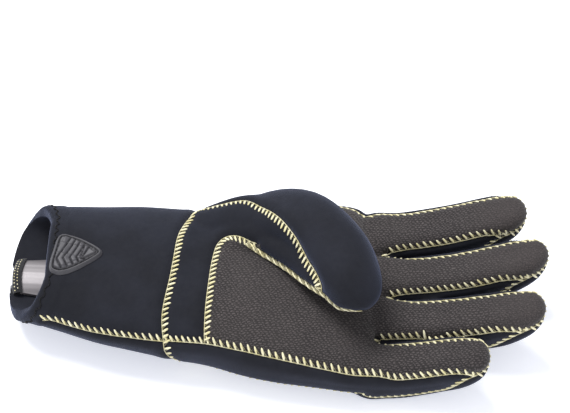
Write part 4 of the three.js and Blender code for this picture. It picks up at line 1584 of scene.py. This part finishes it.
def interlocked_teeth():
    bm = bmesh.new()
    count = int((TEETH_TO - TEETH_FROM) / TOOTH_PITCH * 2)
    for i in range(count):
        side = 1 if i % 2 else -1
        x = TEETH_FROM + i * TOOTH_PITCH / 2
        body = Matrix.Translation((x, side * 1.0, 0.95)) @ Matrix.Diagonal((0.8, 2.9, 1.1, 1))
        head = Matrix.Translation((x, -side * 0.55, 0.85)) @ Matrix.Diagonal((1.05, 0.9, 1.25, 1))
        for place in (body, head):
            bmesh.ops.create_cube(bm, size=1, matrix=place)
    bmesh.ops.bevel(bm, geom=bm.edges[:], offset=0.16, segments=2, profile=0.5, affect="EDGES",
                    material=-1)
    return bm


def eased_copy(node, width):
    """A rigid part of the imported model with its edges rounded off."""
    bm = bmesh.new()
    bm.from_mesh(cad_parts[node].data)
    bmesh.ops.remove_doubles(bm, verts=bm.verts, dist=1e-6)
    bmesh.ops.dissolve_limit(bm, angle_limit=0.02, verts=bm.verts, edges=bm.edges)
    edges = [e for e in bm.edges if len(e.link_faces) == 2 and e.calc_face_angle(0) > 0.5]
    bmesh.ops.bevel(bm, geom=edges, offset=width * MM, segments=3, profile=0.5, affect="EDGES",
                    material=-1, clamp_overlap=True)
    bmesh.ops.recalc_face_normals(bm, faces=bm.faces)
    bmesh.ops.transform(bm, matrix=TO_FRAME.inverted(), verts=bm.verts)
    return smooth_faces(bm)


tape = relief_plate(tape_outline(), tape_relief, lambda x, y: TAPE_FACE, -1, 2.0, 0.42)
piece("zip_tape_lips", in_zip_frame(tape), tape_finish, replaces=["zip_tape"], slot="zip_tape",
      sharp=70)
teeth = in_zip_frame(interlocked_teeth(), smooth=False)
piece("zip_teeth_interlocked", teeth, metal, replaces=["zip_teeth"], slot="gunmetal", sharp=30)
piece("zip_slider_eased", eased_copy("zip_slider", 0.22), metal, replaces=["zip_slider"],
      slot="gunmetal", sharp=30)
piece("zip_pull_eased", eased_copy("zip_pull", 0.2), metal, body="zip_pull", replaces=["zip_pull"],
      slot="gunmetal", sharp=30)


# The stage: a pale floor, soft lights and the camera at the photograph's angle

def stage():
    bm = bmesh.new()
    bmesh.ops.create_grid(bm, x_segments=2, y_segments=2, size=4.0)
    floor = new_object("floor", bm)
    m = Finish("pale_floor", Specular_IOR_Level=0.1, Emission_Color=srgb(232, 236, 250),
               Emission_Strength=0.5)
    *_, vector = m.millimetres()
    colour = m.mix(m.noise(vector, 0.01), srgb(244, 245, 246), srgb(248, 248, 249))
    floor.data.materials.append(m.done(colour, 0.9))
    world = bpy.data.worlds.new("soft_sky")
    world.use_nodes = True
    sky = world.node_tree.nodes["Background"].inputs
    sky["Color"].default_value = srgb(250, 251, 255)
    sky["Strength"].default_value = 0.64
    bpy.context.scene.world = world
    bpy.context.scene.view_settings.view_transform = "Standard"
    area_light("key_light", (-0.3, 0.4, 1.0), 0.6, 14.0)
    area_light("front_fill", (0.1, -1.2, 0.5), 1.2, 5.0)


LIGHT_AIM = (0.0, 0.0, 0.02)


def area_light(name, place, size, power):
    data = bpy.data.lights.new(name, "AREA")
    data.shape = "DISK"
    data.size, data.energy = size, power
    light = bpy.data.objects.new(name, data)
    light.location = place
    light.rotation_euler = (Vector(LIGHT_AIM) - Vector(place)).to_track_quat("-Z", "Y").to_euler()
    bpy.context.scene.collection.objects.link(light)


CAMERA_PLACE = (0.0, -401.504, 588.406)
CAMERA_AIM = (4.843, 73.547, 0.0)
CAMERA_LENS = 86.21


def camera():
    data = bpy.data.cameras.new("camera")
    data.lens, data.sensor_width, data.sensor_fit = CAMERA_LENS, 36.0, "HORIZONTAL"
    data.clip_start, data.clip_end = 0.01, 20.0
    obj = bpy.data.objects.new("camera", data)
    place, aim = (TO_FRAME @ Vector(p) for p in (CAMERA_PLACE, CAMERA_AIM))
    obj.location = place
    obj.rotation_euler = (aim - place).to_track_quat("-Z", "Y").to_euler()
    bpy.context.scene.collection.objects.link(obj)
    bpy.context.scene.camera = obj


stage()
camera()
